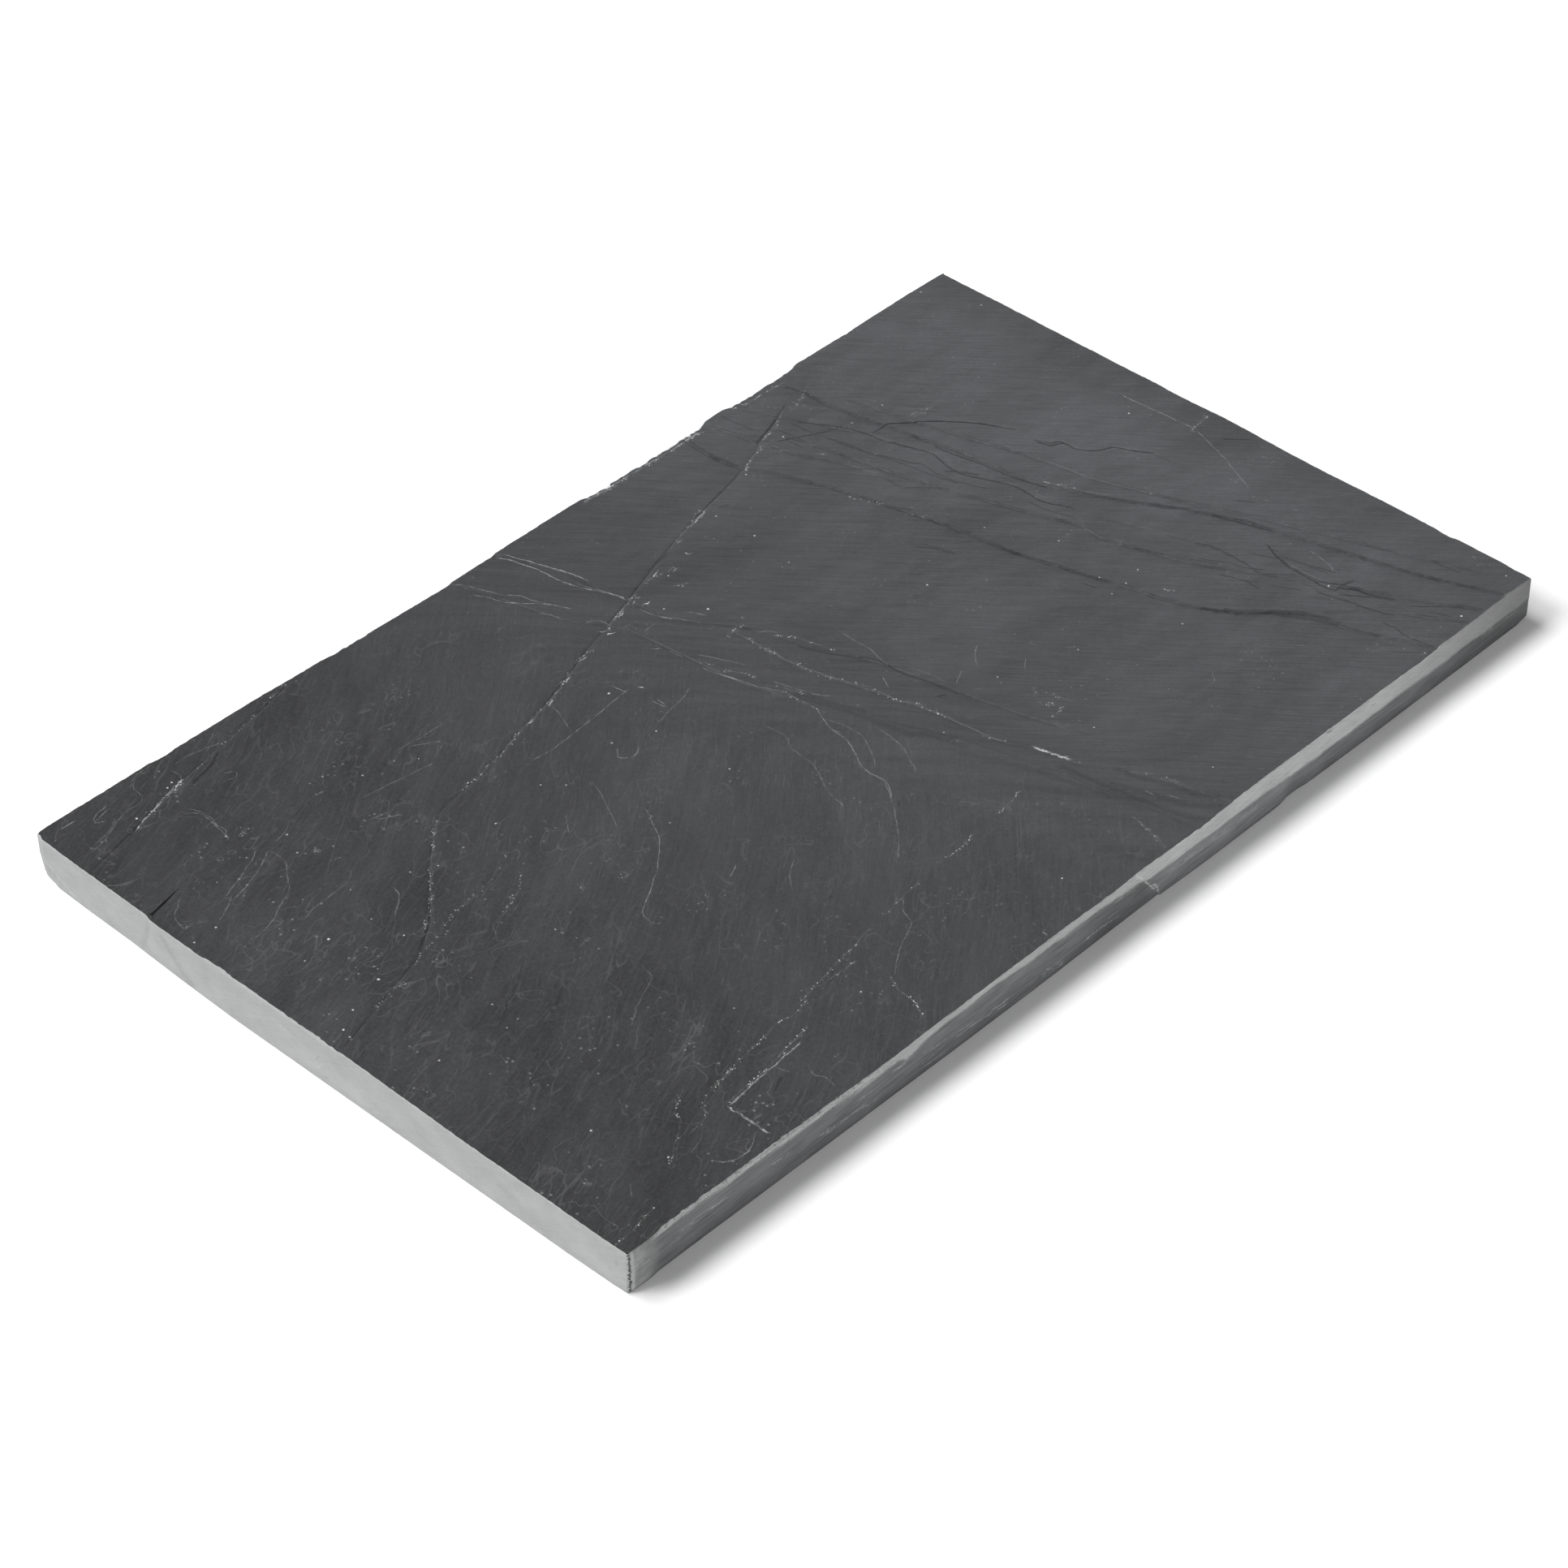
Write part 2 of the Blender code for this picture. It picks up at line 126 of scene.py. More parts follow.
RIGHT_OUT = read_points("""
0,0.6 4,0.4 13,0 21,1 30,1.1 58,0.8 63,-0.6 69,-0.6 76,0.6 110,0.5 170,-0.4 200,-0.1 240,1.2 290,-0.1
310,0.6 340,-0.2 440,-0.1 480,-0.9 500,-1.2
""")
BACK_OUT = read_points("""
0,1.9 25,2.1 88,1.8 95,0.4 102,0.4 112,1.3 178,0.8 230,-0.2 283,-1.4 330,-1.7 367,-0.9 382,-0.4 426,0 452,0
456,-0.7 560,-1 570,0.1 586,0.3 590,-0.8 628,-0.9 648,-0.2 653,0.6 699,0.2 702,-0.6 705,0.2 766,0.9 800,0.2
""")
LEFT_OUT = read_points("""
0,0.8 33,1.6 77,2.2 110,2.7 175,2.4 222,1.9 245,2.5 343,2.3 348,3.1 393,2.3 398,1.3 440,1 485,0.3 500,0
""")
CREASE_HEIGHT = read_points("""
0,22 20,23 30,25.2 130,24.3 215,23.2 222,20.5 228,21.5 240,24.8 290,25.4 350,23.4 400,23 418,21 426,20
500,19 560,18 610,16.6 650,17 700,16 800,15.5
""")
OTHER_CREASE_HEIGHT = read_points("0,17.5 120,19 240,16.5 360,18.5 500,15.5 650,18 800,17")
FRONT_CREASE_OUT = read_points("0,0.6 18,0.5 24,-0.5 130,-0.3 250,-0.4 800,-0.6")
FRONT_FOOT_OUT = read_points("""
0,0.5 16,0.3 22,-0.4 150,0.2 250,0.8 330,0.9 400,0.1 440,-0.2 490,0.6 552,0.1 562,-1.6 572,-1.4 580,-0.5
640,0 800,-0.3
""")
RIGHT_FOOT_OUT = read_points("0,0 60,0.9 240,0.9 400,0.2 500,-0.8")
BACK_FOOT_OUT = read_points("0,1.2 120,1.4 330,-0.8 450,0.3 600,0 800,0.4")
LEFT_FOOT_OUT = read_points("""
0,2 46,2.9 119,3.3 149,3.6 223,4 322,4.6 366,3.8 389,3.1 416,2.2 454,1.8 480,1.2 500,0.2
""")

# The slanting break across the front: where it meets the top and the floor, how far the right part stands out
# and over what width, and from what height down, and over how much, it grows.
BREAK_TOP = 419.0
BREAK_FOOT = 441.0
BREAK_STEP = 1.1
BREAK_WIDTH = 2.5
BREAK_HEIGHT = 31.0
BREAK_GROWTH = 10.0

# Roughness of the sides, as depth, wavelengths along and up, and noise seed: snapped stone, and all of it.
SNAP_BLEND = 3.0
SNAPPED_RELIEF = [(0.35, (60.0, 5.0), 3.1), (0.25, 14.0, 7.2), (0.12, 5.0, 9.4)]
SAWN_RELIEF = (0.04, 8.0, 1.9)

# Each corner: plan radius, and how far its lowest point is clipped back. Order: front left, front right, back
# right, back left.
CORNERS = [(1.2, 0.6), (1.6, 1.2), (1.6, 1.0), (5.5, 4.0)]

# The sides in order round the outline. A side is in reverse where the outline runs against its tables.
Side = namedtuple(
    "Side", "name start direction outward length reverse top_out crease_out foot_out crease_height")
SIDES = [
    Side("front", (0, 0), (1, 0), (0, -1), LENGTH, False,
         FRONT_OUT, FRONT_CREASE_OUT, FRONT_FOOT_OUT, CREASE_HEIGHT),
    Side("right", (LENGTH, 0), (0, 1), (1, 0), WIDTH, False,
         RIGHT_OUT, RIGHT_OUT, RIGHT_FOOT_OUT, OTHER_CREASE_HEIGHT),
    Side("back", (LENGTH, WIDTH), (-1, 0), (0, 1), LENGTH, True,
         BACK_OUT, BACK_OUT, BACK_FOOT_OUT, OTHER_CREASE_HEIGHT),
    Side("left", (0, WIDTH), (0, -1), (-1, 0), WIDTH, True,
         LEFT_OUT, LEFT_OUT, LEFT_FOOT_OUT, OTHER_CREASE_HEIGHT),
]
FRONT = 0
LEFT = 3

# Stretches of arris that are spalled wider: side, from, to, extra wear.
STRETCH_TAPER = 5.0
SPALLS = [
    ("back", 231, 265, 0.8), ("back", 455, 562, 1.9), ("back", 586, 650, 1.4), ("front", 0, 8, 0.6),
    ("front", 24, 130, 0.8), ("front", 597, 605, 0.9), ("left", 235, 345, 0.7),
]

# How pale the crushed stone of an arris is: side, from, to, strength.
CRUSHED = [
    ("back", 20, 40, 0.3), ("back", 231, 265, 0.6), ("back", 456, 560, 0.9), ("back", 586, 650, 0.6),
    ("front", 20, 132, 0.33), ("front", 132, 420, 0.25), ("front", 732, 772, 0.35), ("front", 420, 732, 0.15),
]

# Ledges of the riven top: how much the surface rises on the +x side, how dark its foot is, and its line.
# The dark line along a ledge's foot is partly the layer's darker broken edge and partly painted shade.
LEDGE_RAMP = 0.7
LEDGE_LINE_WIDTH = 1.9
LEDGE_LINE_SHADE = 0.9
LEDGE_LINE_GRIT = 0.9
LEDGE_REACH = 30.0
LEDGE_FADE = 30.0
LEDGES = read_strokes("""
1.1 0.9 543,497 542,470 546,447 556,428 566,400 573,380 593,300 597,272 603,245 629,153 638,131 650,111
 663,98 674,84 682,68 684,52 704,3
0.7 0.6 565,497 569,475 577,440 583,425 596,398 601,380 602,358
0.8 0.7 590,448 597,425 603,400 608,375 614,350 619,332 646,252 649,222 658,193 668,165 686,132 698,111
 733,40 744,20 753,3
0.5 0.5 592,490 600,472 613,450 620,431 629,412 634,390 643,362 640,344 650,315 660,256
1.1 0.8 630,487 634,470 635,450 639,428 658,335 662,303 668,283 680,257 694,230 708,203 722,172 729,150
 753,60 774,3
0.7 0.6 647,445 665,375 686,302 691,275 698,252 711,214 722,188 731,165 782,27
0.4 0.5 663,240 686,175 691,143
0.5 0.6 699,103 702,85 705,68 711,52 716,40 723,24 731,12 737,3
1 0.25 336,497 356,428 364,407 374,392 380,373 388,300 394,278 402,255
-1 0.5 402,262 408,238 414,220 430,182 446,140 468,45 472,22 475,3
0.9 0.5 373,497 381,478 389,460 393,440 394,420 399,400 402,375 411,355 422,338 433,318 441,292 452,268
 460,245 466,222 472,200 477,172 495,104
0.8 0.25 415,350 421,330 423,300 425,275 446,197 452,165 456,140 466,118 471,95 478,80 486,65 494,45 500,25
 506,3
""")

# Open seams and cracks: depth, width, how far the +y side lies above the other, darkness, grit, and line.
SEAM_REACH = 25.0
SEAM_FADE = 14.0
SEAMS = read_strokes("""
0.35 1.8 -0.3 0.6 1 3,231 27,238 50,245 75,253 92,262 110,275 130,297 148,315 175,338 200,345 225,348
 258,359 290,367 320,377 350,388 400,403 437,416 475,428 512,437 548,446 577,458 615,473
0.3 1.4 -0.3 0.5 0.9 4,452 47,462 70,468 93,475 125,481 165,489 193,496
1.4 1.2 0.5 1 0.1 3,397 12,399 27,402
0.6 1.3 0 0.95 0.2 633,410 645,409 653,402 670,386 686,365 697,343
0.6 1.3 0 0.95 0.3 697,325 703,315 708,313 709,299 717,288 727,283 733,270 739,260
0.6 1.3 0 0.95 0.3 709,130 707,118 708,95 714,83 719,71
""")

# Ledges and seams vary in depth along their lines. A seam's depth stays between two shares of its own.
UNEVENNESS = 0.5
UNEVEN_LENGTH = 35.0
DEPTH_SHARES = (0.3, 1.3)

# Broad waves of the riven face, as in the solid, which die away at the rim, shallow scoops in it, and the
# hollows of the underside.
WAVE_HEIGHT = 0.45
WAVE_LENGTH = 95.0
WAVE_MARGIN = 40.0
SCOOP_HEIGHT = 0.05
SCOOP_LENGTH = 9.0
HOLLOW_WAVE = 0.5
HOLLOW_LENGTH = 60.0
HOLLOW_DEPTH = 0.4

# The near and far halves of the riven face, and the line across it where the grain turns.
NEAR_GRAIN_ANGLE = 40.0
FAR_GRAIN_ANGLE = -50.0
GRAIN_SWITCH = 470.0
GRAIN_SWITCH_SLOPE = 0.28
GRAIN_BLEND = 70.0
# Each half's grain angle, its flakes (wavelengths, noise seed, steps, riser share, height) and its grain
# (wavelengths, noise seed, height).
RELIEF = [
    (NEAR_GRAIN_ANGLE, ((70.0, 30.0), 1.7, 4.0, 0.12, 0.42), ((16.0, 4.5), 2.9, 0.07)),
    (FAR_GRAIN_ANGLE, ((160.0, 20.0), 5.3, 3.0, 0.15, 0.30), ((26.0, 3.5), 8.1, 0.055)),
]
# The grain of the near half's colour runs along curves, whose slope grows with x.
NEAR_FLOW_SLOPE = 0.325
NEAR_FLOW_CURVE = 0.00072
NEAR_FLOW_SQUEEZE = 0.85

# Marks that are only colour: strength, and the line. Crystals are the broken white quartz of the veins.
CRYSTALS = read_strokes("""
1 450,495 557,493.5
1 596,493.5 633,492
1.3 588,495.5 592,495.5
0.8 427,393 431,390 435,387
0.7 429,344 435,336
0.7 591,421 594,417
0.8 435,310.5 443,298
0.6 443,298 450,272
0.7 397,281 402,272 407,257
2.2 47,462 92,474
0.45 97,475 158,488 177,493 197,499
0.5 26,238 53,246 62,244
0.45 78,252 87,257 93,258
0.7 98,268 111,278 123,288 130,296 142,309 154,319 163,330 172,336
0.75 195,346 220,348 232,351 248,354 255,357 266,361
0.85 270,361 290,366 308,371 319,377 326,379
1 336,384 341,383.5 349,385
1 365,394 370,391 376,395 405,403
0.5 422,408 442,405
0.5 462,424 470,426 480,429
0.9 480,428 490,430 497,432
0.7 484,431 492,434 500,435
0.9 546,443 556,448 566,451 575,454
0.7 574,456 582,458 593,461 599,464
0.5 615,466 628,471 642,478
0.9 0,11 12,11 23,13 34,14
0.6 62,31 87,48 92,52 93,57 98,61 111,68
0.8 86,40 102,43 108,50 114,53 123,56 173,64 186,66 195,64 209,67
0.6 201,69 212,70 265,80 278,82
0.5 292,84 326,89
0.6 354,92 361,91 372,92 379,94
0.6 404,96 414,97 428,99
1 118,41 130,43 146,44 192,51
0.6 224,68 231,70 246,69 252,68
1 256,46 254,40 251,35 251,26 249,20 246,11
0.6 152,255 155,254 162,253
0.45 102,260 115,265 124,268 133,269 148,271 164,276 180,283
0.5 123,235 134,242 148,249 162,255 173,264 188,275
0.6 144,405 134,406 128,404
0.5 7,374 16,371 20,369
0.5 181,419 186,420
0.7 386,327 387.5,321 388,318
0.8 389,310 394,302 397,295 397,288
0.6 400,269 401,255 402,236
0.7 426,282 424,274 426,265 437,236 442,209 445,204 452,174
0.8 412,331 419,332 429,331
0.5 422,321 422,308 423,300 422,292
0.9 453,150.5 455,144 457,137.5
0.5 466,122 473,91
0.6 486,64 490,58 494,51 498,35 500,29
0.5 457,34 450,5
0.7 508,149 511,138
0.6 502,141 504,132 494,131
0.4 506,158 500,150 498,141 503,137
0.8 667,292 670,285 675,275 677,267
0.7 774,257 786,259 794,260 795,264 791,262
0.9 635,163 636.5,161 638,158
0.5 572,374 580,351
""")

# Dashes are the thickest crystals, packed in short runs along the seams.
DASHES = read_strokes("""
1 45.5,460.6 48,461.6
0.6 51,463 58,465
0.9 59,465.5 67,468
0.7 69,468.6 75,470.6
0.9 77,471 84,473.3
0.9 86,473.6 92.5,475.4
1 366,393.5 367,393
1.2 367.5,388.5 370,387.5
1 335.5,382.5 341,381
0.8 383,395 387,396
1 399,398 400,398
0.7 403,399 404,399
1 403,391.5 405,391
1 317.5,374.5 320,375
0.8 343,336.5 344,335
0.5 458,409 459,408
0.5 440,403 442,403
0.5 462,421 465,421.5
0.5 486,429.5 497,431.5
0.6 426,407 433,410
0.7 293,365 298,366.5
0.7 272,361 277,362
0.7 117.5,10 117,24 116.5,38
0.45 120,39.5 150,43 181,45.5
0.8 465,121 468,109 471,98
""")

# Hairs are the thin pale lips of flakes.
HAIRS = read_strokes("""
0.7 401,241 394,223 391,204 380,182 380,164 372,152
0.4 413,199 410,179 400,158
0.4 399,229 402,214 400,199 386,178
0.45 94,486 95,480 91,474 80,472
0.5 115,461 120,457 116,453 112,455
0.35 83,497 74,496 67,490 67,483 63,478 50,477 40,474 27,468 14,465
0.9 44,487 37,485 31,484 36,480
0.9 23,493 15,493.5
0.6 75,450 80,444 80,433 79,426 77,415
0.4 67,493 75,498 84,499
0.6 36,483 32,486 38,489 46,490
0.4 20,469 31,471 41,476
0.4 101,490 111,490 124,487 131,485
0.6 78,452 81,446 82,435 80,430 81,422 77,417
0.4 94,392 104,395 112,399
0.5 42,377 72,389 80,394
0.5 43,371 57,375 72,381 84,388
0.5 26,364 33,367 44,374
0.5 7,375 8,381 11,387 17,391 22,395
0.55 86,388 87,381 85,373 81,367 71,354 62,349 42,339 30,337
0.35 60,328 72,331 84,332 100,334 106,339
0.6 113,309 112,304 108,299 98,292
0.35 164,149 160,143 142,135 126,125
0.4 294,364 292,355 285,338
0.6 264,252 261,245 256,236 250,226 241,218 231,209 214,198 198,188 195,177
0.4 259,294 258,286 242,254
0.4 228,283 223,277 218,270
0.4 369,254 370,245 369,235 364,228 362,208 358,199 350,184 347,169
0.35 394,222 394,212 386,195 378,182
0.4 272,139 282,150 292,156
0.45 379,164 370,150 349,125 335,112
0.6 292,304 287,298 295,292 302,296
0.5 329,304 339,307 351,309 362,313
0.5 260,46 270,53 280,59 290,64 298,68 302,78 312,87
0.9 81,15 84,11 90,8 97,7 103,8 108,11 112,14
0.5 78,29 88,32
0.4 171,29 168,23 171,16 170,9
0.45 158,41 160,35
0.6 335,496 339,490 344,476 349,464
0.8 338,478 342,469 348,454 358,442 362,436
0.9 351,462 356,456 358,447 361,440 368,424
0.4 353,435 357,425 358,418
0.6 366,406 372,402 374,392
0.5 381,349 383,339
0.7 383,321 392,286 395,279 400,269
0.5 390,332 395,322 402,305
0.5 403,279 406,269 412,252 416,245
1.3 373,495 378,484 381,472 383,460 384,446 388,433 394,420 398,405
1.3 378,493 386,470 389,460 392,451 395,435
0.9 452,496 500,495 556,494
0.6 389,438 392,429 396,414 398,405
0.6 398,390 400,380 404,370 413,354
0.5 415.5,366 420.5,356
0.4 428,324 439,310
0.4 470,225 473,214 474,202
0.5 466,280 466,270 466,259 462,240
0.5 480.5,46 481,40
0.5 485.5,35 488,27.5
0.45 456,95 460.5,87.5
0.5 478,196 488,201
0.5 500,199 506,206 513,211
0.5 517,174 524,180
0.5 777,255 774,245 766,222 760,209 753,192
0.5 728,119 725,102 721,96
0.5 587,81 592.5,87.5
""")

# Scratches are fine, straight and unbroken.
SCRATCHES = read_strokes("""
0.5 201,401 218,400 235,400
0.4 208,399 224,389
0.5 157,384 206,377
0.5 250,334 269,333 300,336 319,338 336,340
0.6 150,361 161,356
0.5 146,365.5 157,362.5
0.9 332.5,349 334,340
0.9 339,320.5 340,312
0.9 342,319 342,314
0.7 255.5,173 264,177.5
1 118,31 118,20 118,9
0.8 32,30.5 36,35.5
0.8 344,7.5 344,4
0.8 376,357 380,354
0.6 385.5,373.5 392.5,373.5
0.7 451,232.5 447,225
0.8 774,316 778,259
0.4 677,267 685,252
""")

# Patches are loose dust and bruises.
PATCHES = read_strokes("""
0.4 662,401 678,401
0.4 104,366 105,370
0.35 107,352 108,356
0.4 187,229 191,231
0.35 211,218 216,219
0.4 47,461 60,465
0.4 84,410 90,414
""")

# The kinds of pale mark: half width, how gritty, how strong, and the marks.
PALE_KINDS = [
    (0.9, 1.0, 1.0, CRYSTALS),
    (1.15, 0.0, 1.0, DASHES),
    (0.65, 0.15, 0.52, HAIRS),
    (0.55, 0.1, 0.6, SCRATCHES),
    (3.0, 1.0, 1.0, PATCHES),
]

# Bright specks: radius, strength and place.
SPECKS = read_strokes("""
1 1 51,468
0.9 0.9 82,476
0.8 0.8 87,478
0.8 0.6 181,495
1 1 12.5,242
0.8 0.8 11,235
0.9 0.8 27,250
1 0.8 117,37.5
1 0.8 66,35.5
0.8 0.6 235.5,49.5
0.8 0.9 387,30
1 0.5 77,417
0.9 0.8 3,360
0.9 0.8 20,360.5
0.8 0.5 152.5,415.5
0.8 0.6 170,399
0.8 0.5 192.5,395.5
0.9 0.6 103,392
0.8 0.6 96,375
1.1 0.9 54,258
0.8 0.8 89.5,275
0.8 0.5 86,299
1 1 57.5,304.5
0.8 0.6 129.5,313
0.8 0.5 144.5,305
0.8 0.5 166,306
0.9 0.8 194,308
0.7 0.6 95,327
0.7 0.5 36,301
0.9 0.6 32,183.5
0.7 0.5 76.5,175
0.8 0.6 152.5,214
0.7 0.5 84,195
1 0.7 51,81
0.7 0.5 176,92.5
0.7 0.5 204,386
0.8 0.8 209,348
0.8 0.6 237,314
0.8 0.5 247.5,303
0.8 0.5 265.5,233
0.8 0.6 325,241.5
1.1 0.8 326,346
0.9 0.6 294,311
0.9 0.7 320,299
0.8 0.6 498.5,423
0.8 0.7 543.5,440
0.7 0.7 458,410
0.7 0.7 433.5,401.5
1 1 426,359
0.8 0.8 407.5,379.5
0.9 0.7 500.5,390.5
0.7 0.5 495,355
0.9 0.7 537.5,275
0.8 0.5 499,181
0.7 0.5 438,170
0.8 0.5 503,106
0.8 0.5 523,29
0.8 0.5 553,162.5
0.9 0.8 761.5,300
1 0.7 708,89
1 1 740,9
0.8 0.6 697,4
0.9 0.7 791,13
0.8 0.5 617,132
0.8 0.5 616.5,200
0.7 0.5 610,184
0.8 0.6 623.5,184
0.8 0.6 639,187.5
0.8 0.5 606,288
0.8 0.5 628,244
0.8 0.5 631,428
0.8 0.5 658,425.5
0.8 0.5 788.5,455
0.8 0.5 772,495.5
1 0.9 589,450
""")

# Dark marks: half width, strength and line. The wide, soft ones along the feet of the ledges are painted
# shade.
DARK_GRIT = 0.4
DARK_STRENGTH = 1.15
DARKS = read_strokes("""
0.8 0.9 125,478.5 113,473 104,470.2 94,467.2
0.8 0.8 93,476 79,471 48,463 37,457
0.8 0.9 714,143 708,129 705,115 706,86 710,83 715,82 722,80
1.1 0.9 711,82 717,72 719,62 725,50
0.7 0.6 700,146 707,131 714,115 717,97
1.2 0.6 685,179 689,170 690,155 690,141 689,129 694,118
0.8 0.6 671,146 677,130 676,118
1.1 0.7 699,91 709,50 713,41
4 0.3 408,256 420,190 429,174 437,151
1.2 0.6 439,292 446,273 460,249 463,226 467,213 470,198 472,188
1.2 0.7 649,370 650,357 655,335 658,312 665,286
1 0.8 642,366 638,341 645,321 652,301 652,280 660,260
1 0.9 697,322 700,314 708,310 708,302
0.8 0.6 563,305 569,294 573,283
0.8 0.6 608,420 615,393 621,372 625,348 629,333
0.9 0.7 608,455 615,443 623,428 629,412 631,400 636,385 642,366
0.8 0.5 565,495 571,475
0.8 0.5 577,495 581,470
0.8 0.5 588,444 589,432
0.8 0.5 566,305 574,286
0.8 0.5 581,291 589,285
0.9 0.8 460.5,196 466,194
1 0.8 97,469 107,471 115,473 124,478
1 0.6 58,243 69,245
1.3 0.7 66,251 80,254 96,264
1.2 0.5 114,400 126,404
1.3 0.6 144,29 154,34
2 0.4 280,117 283,118
2.5 0.3 94,62 98,64
3 0.3 8,36 13,37
1.6 0.5 369,144 372,146
1.6 0.4 346,388 349,388
1.6 0.4 587,321 589,323
0.8 0.8 583,449 612,434 624,430
0.8 0.8 782,236 787,230 793,224
0.7 0.6 714,83 722,82
0.7 0.7 711,128 721,94
0.7 0.7 702,40 703,30 701,22 704,2
4 0.22 0,229 30,230
4 0.25 73,237 100,238
2.2 0.5 543,495 543,470 546,450
2.4 0.5 640,125 663,98 684,60
3.5 0.25 430,150 447,110 458,70 468,35
3 0.3 404,262 412,240 420,218
0.9 0.7 607,428 612,412 614,398 618,388 624,373 629,363
0.8 0.5 629,362 628,346 631,331 638,314
0.9 0.6 603,354 614,342
1.3 0.6 634,347 640,338 645,328
0.8 0.5 646,285 647,272 650,260 652,253
0.8 0.5 606,205 608,196
1.3 0.7 714,191 728,150
0.8 0.6 735,187 738,183 742,177
0.7 0.4 739,254 740,245
4 0.36 463,98 467,72 471,56 475,33 481,11 488,2
4 0.32 472,66 479,46 485,27 492,12 500,2
2.5 0.32 483,73 488,52 495,35 498,21 506,9
0.8 0.5 669,170 674,162 678,154
0.8 0.5 674,166 681,154 686,145
0.9 0.5 671,144 676,134 680,125
1 0.6 684,145 688,137 693,129
1 0.6 688,130 694,121 702,111
0.8 0.45 684,117 689,108 693,100
1.3 0.65 706,78 713,68 719,59 724,50
1 0.6 727,38 733,31 740,24
0.8 0.5 730,26 735,14
0.8 0.5 723,29 729,20
0.9 0.45 684,20 693,9
0.8 0.45 772,51 774,36
0.8 0.5 712,141 714,134
0.8 0.6 593,457 595,435
0.8 0.55 604,456 605,440
1 0.6 506,428 512,425
1 0.6 493,397 496,394
1.8 0.55 437,416 450,419
1.4 0.6 506,436 522,439 537,443
1.4 0.7 572,458 586,462 600,467
1.5 0.5 580,349 584,341 588,335
1.5 0.6 645,122 652,110 660,101
1.5 0.6 662,101 675,86 682,70
""")

# Marks on the two sides that are seen, as (distance along, height): half width, grit, strength and line.
FRONT_PALE = read_strokes("""
0.6 0.3 0.8 40,18.5 50,18
0.7 0.3 1 62,18.5 68,18 75,18
0.7 0.6 0.7 110,17 118,16.5 125,16
0.8 0.6 0.7 145,13 150,12 160,11
1.2 0.8 0.6 155,13 157,9
0.8 0.3 0.9 165,10 175,10 185,9.5
0.6 0.4 0.7 180,16.5 196,15.5
0.6 0.4 0.7 184,8 196,7.5
0.9 0.2 1 209,19 214,18.5 217,18
0.7 0.3 0.8 262,9.5 275,9 290,7.5 305,6
0.6 0.3 0.7 264,12 276,11
0.7 0.3 0.9 292,9.5 306,9
2 0.85 0.5 337,8 345,7 353,6
0.7 0.5 0.9 374,9 385,9 395,8.5 404,7
0.6 0.3 0.6 2,15.5 16,15.5
0.5 0.3 0.5 1,17.5 14,18.5
1.5 0.5 0.7 220,22 221,19.5 218,18
0.5 0.4 0.5 32,14.5 47,14
0.6 0.5 0.5 234,15 252,14
0.5 0.4 0.5 232,5.5 250,4.5
0.6 0.3 0.5 402,22 422,19.5
0.6 0.4 0.6 400,20.5 420,18
1.6 0.2 0.9 418,30.5 422,26 427,20 431,14 435,9
2.2 0.2 1 434,13 437,10 438.5,6.5
1 0.2 0.7 437,7 441,1
4 0 0.2 448,13.5 530,12.5
0.6 0.5 0.5 462,15 472,14.5
1 0.2 0.7 578,1.5 582,0.5
0.5 0.4 0.5 752,14.5 762,13.5
0.5 0.4 0.5 774,14 788,12.5
""")
# The last two dark strokes run along the front's foot as a painted contact shadow.
FRONT_DARK = read_strokes("""
6 0.2 0.75 412,12 420,9 426,6
3.5 0.2 0.7 406,6 415,4 432,2
5 0.2 0.7 560,4 566,6 572,2.5
1.2 0.3 0.8 596,30 600,29
1 0.3 0.4 541,24 543,25
1 0.3 0.4 640,25 643,25
1.5 0.3 0.6 398,1.5 440,1
1.2 0.3 0.5 440,1 449,-1
""")
LEFT_PALE = read_strokes("""
0.7 0.4 0.9 462,3 473,6 486,12 498,18
0.6 0.5 0.8 470,3 484,10 497,15
0.6 0.5 0.5 415,14 425,19 440,23
0.6 0.5 0.5 262,15 270,18 280,20
0.8 0.6 0.6 244,14 249,9
0.6 0.5 0.4 6,28 40,27
""")
LEFT_DARK = read_strokes("""
5 0.1 0.22 356,2 372,12 384,24
1 0.4 0.4 240,6 243,5
3.5 0.1 0.2 395,28 404,4
8 0.1 0.1 60,4 100,18
1.4 0.4 0.35 9,20 9,16
0.8 0.4 0.4 248,17 250,14
""")

# How far down the pale sawn band of the front reaches. Stone with no crease is sawn far below any foot.
PALE_BAND_FOOT = read_points("""
0,28.4 60,28.2 95,27.2 130,25.8 180,24.4 215,23.2 220,20.5 228,21.5 240,24.8 290,25.4 350,23.4 400,23 418,21
426,20 500,19 560,18 610,16.6 650,17 700,16 800,15.5
""")
ALL_SAWN = 30.0

# Broad lighter and darker patches of the riven face: half length, half width, angle, change, and centre.
SHADES = read_strokes("""
150 55 90 0.4 10,240
45 25 90 0.2 22,372
75 10 25 -0.24 75,438
100 24 20 0.18 300,268
60 25 50 -0.14 215,312
70 40 0 -0.08 282,445
300 45 90 -0.28 805,250
45 40 0 -0.14 795,495
60 40 0 -0.1 760,30
40 25 0 0.14 663,410
70 50 0 0.1 575,60
60 45 20 -0.12 345,55
45 20 40 0.12 175,130
""")

# How strokes lie on the mesh: how far they reach at all and at full strength, how near two may be in one
# layer, how they wobble and end, and in how many layers they are kept.
STROKE_REACH = 4.0
STROKE_CORE = 2.6
STROKE_GAP = 8.5
STROKE_WOBBLE = 0.5
WOBBLE_LENGTH = 9.0
STROKE_END = 1.5
PALE_LAYERS = 7
DARK_LAYERS = 6
SPECK_LAYERS = 2

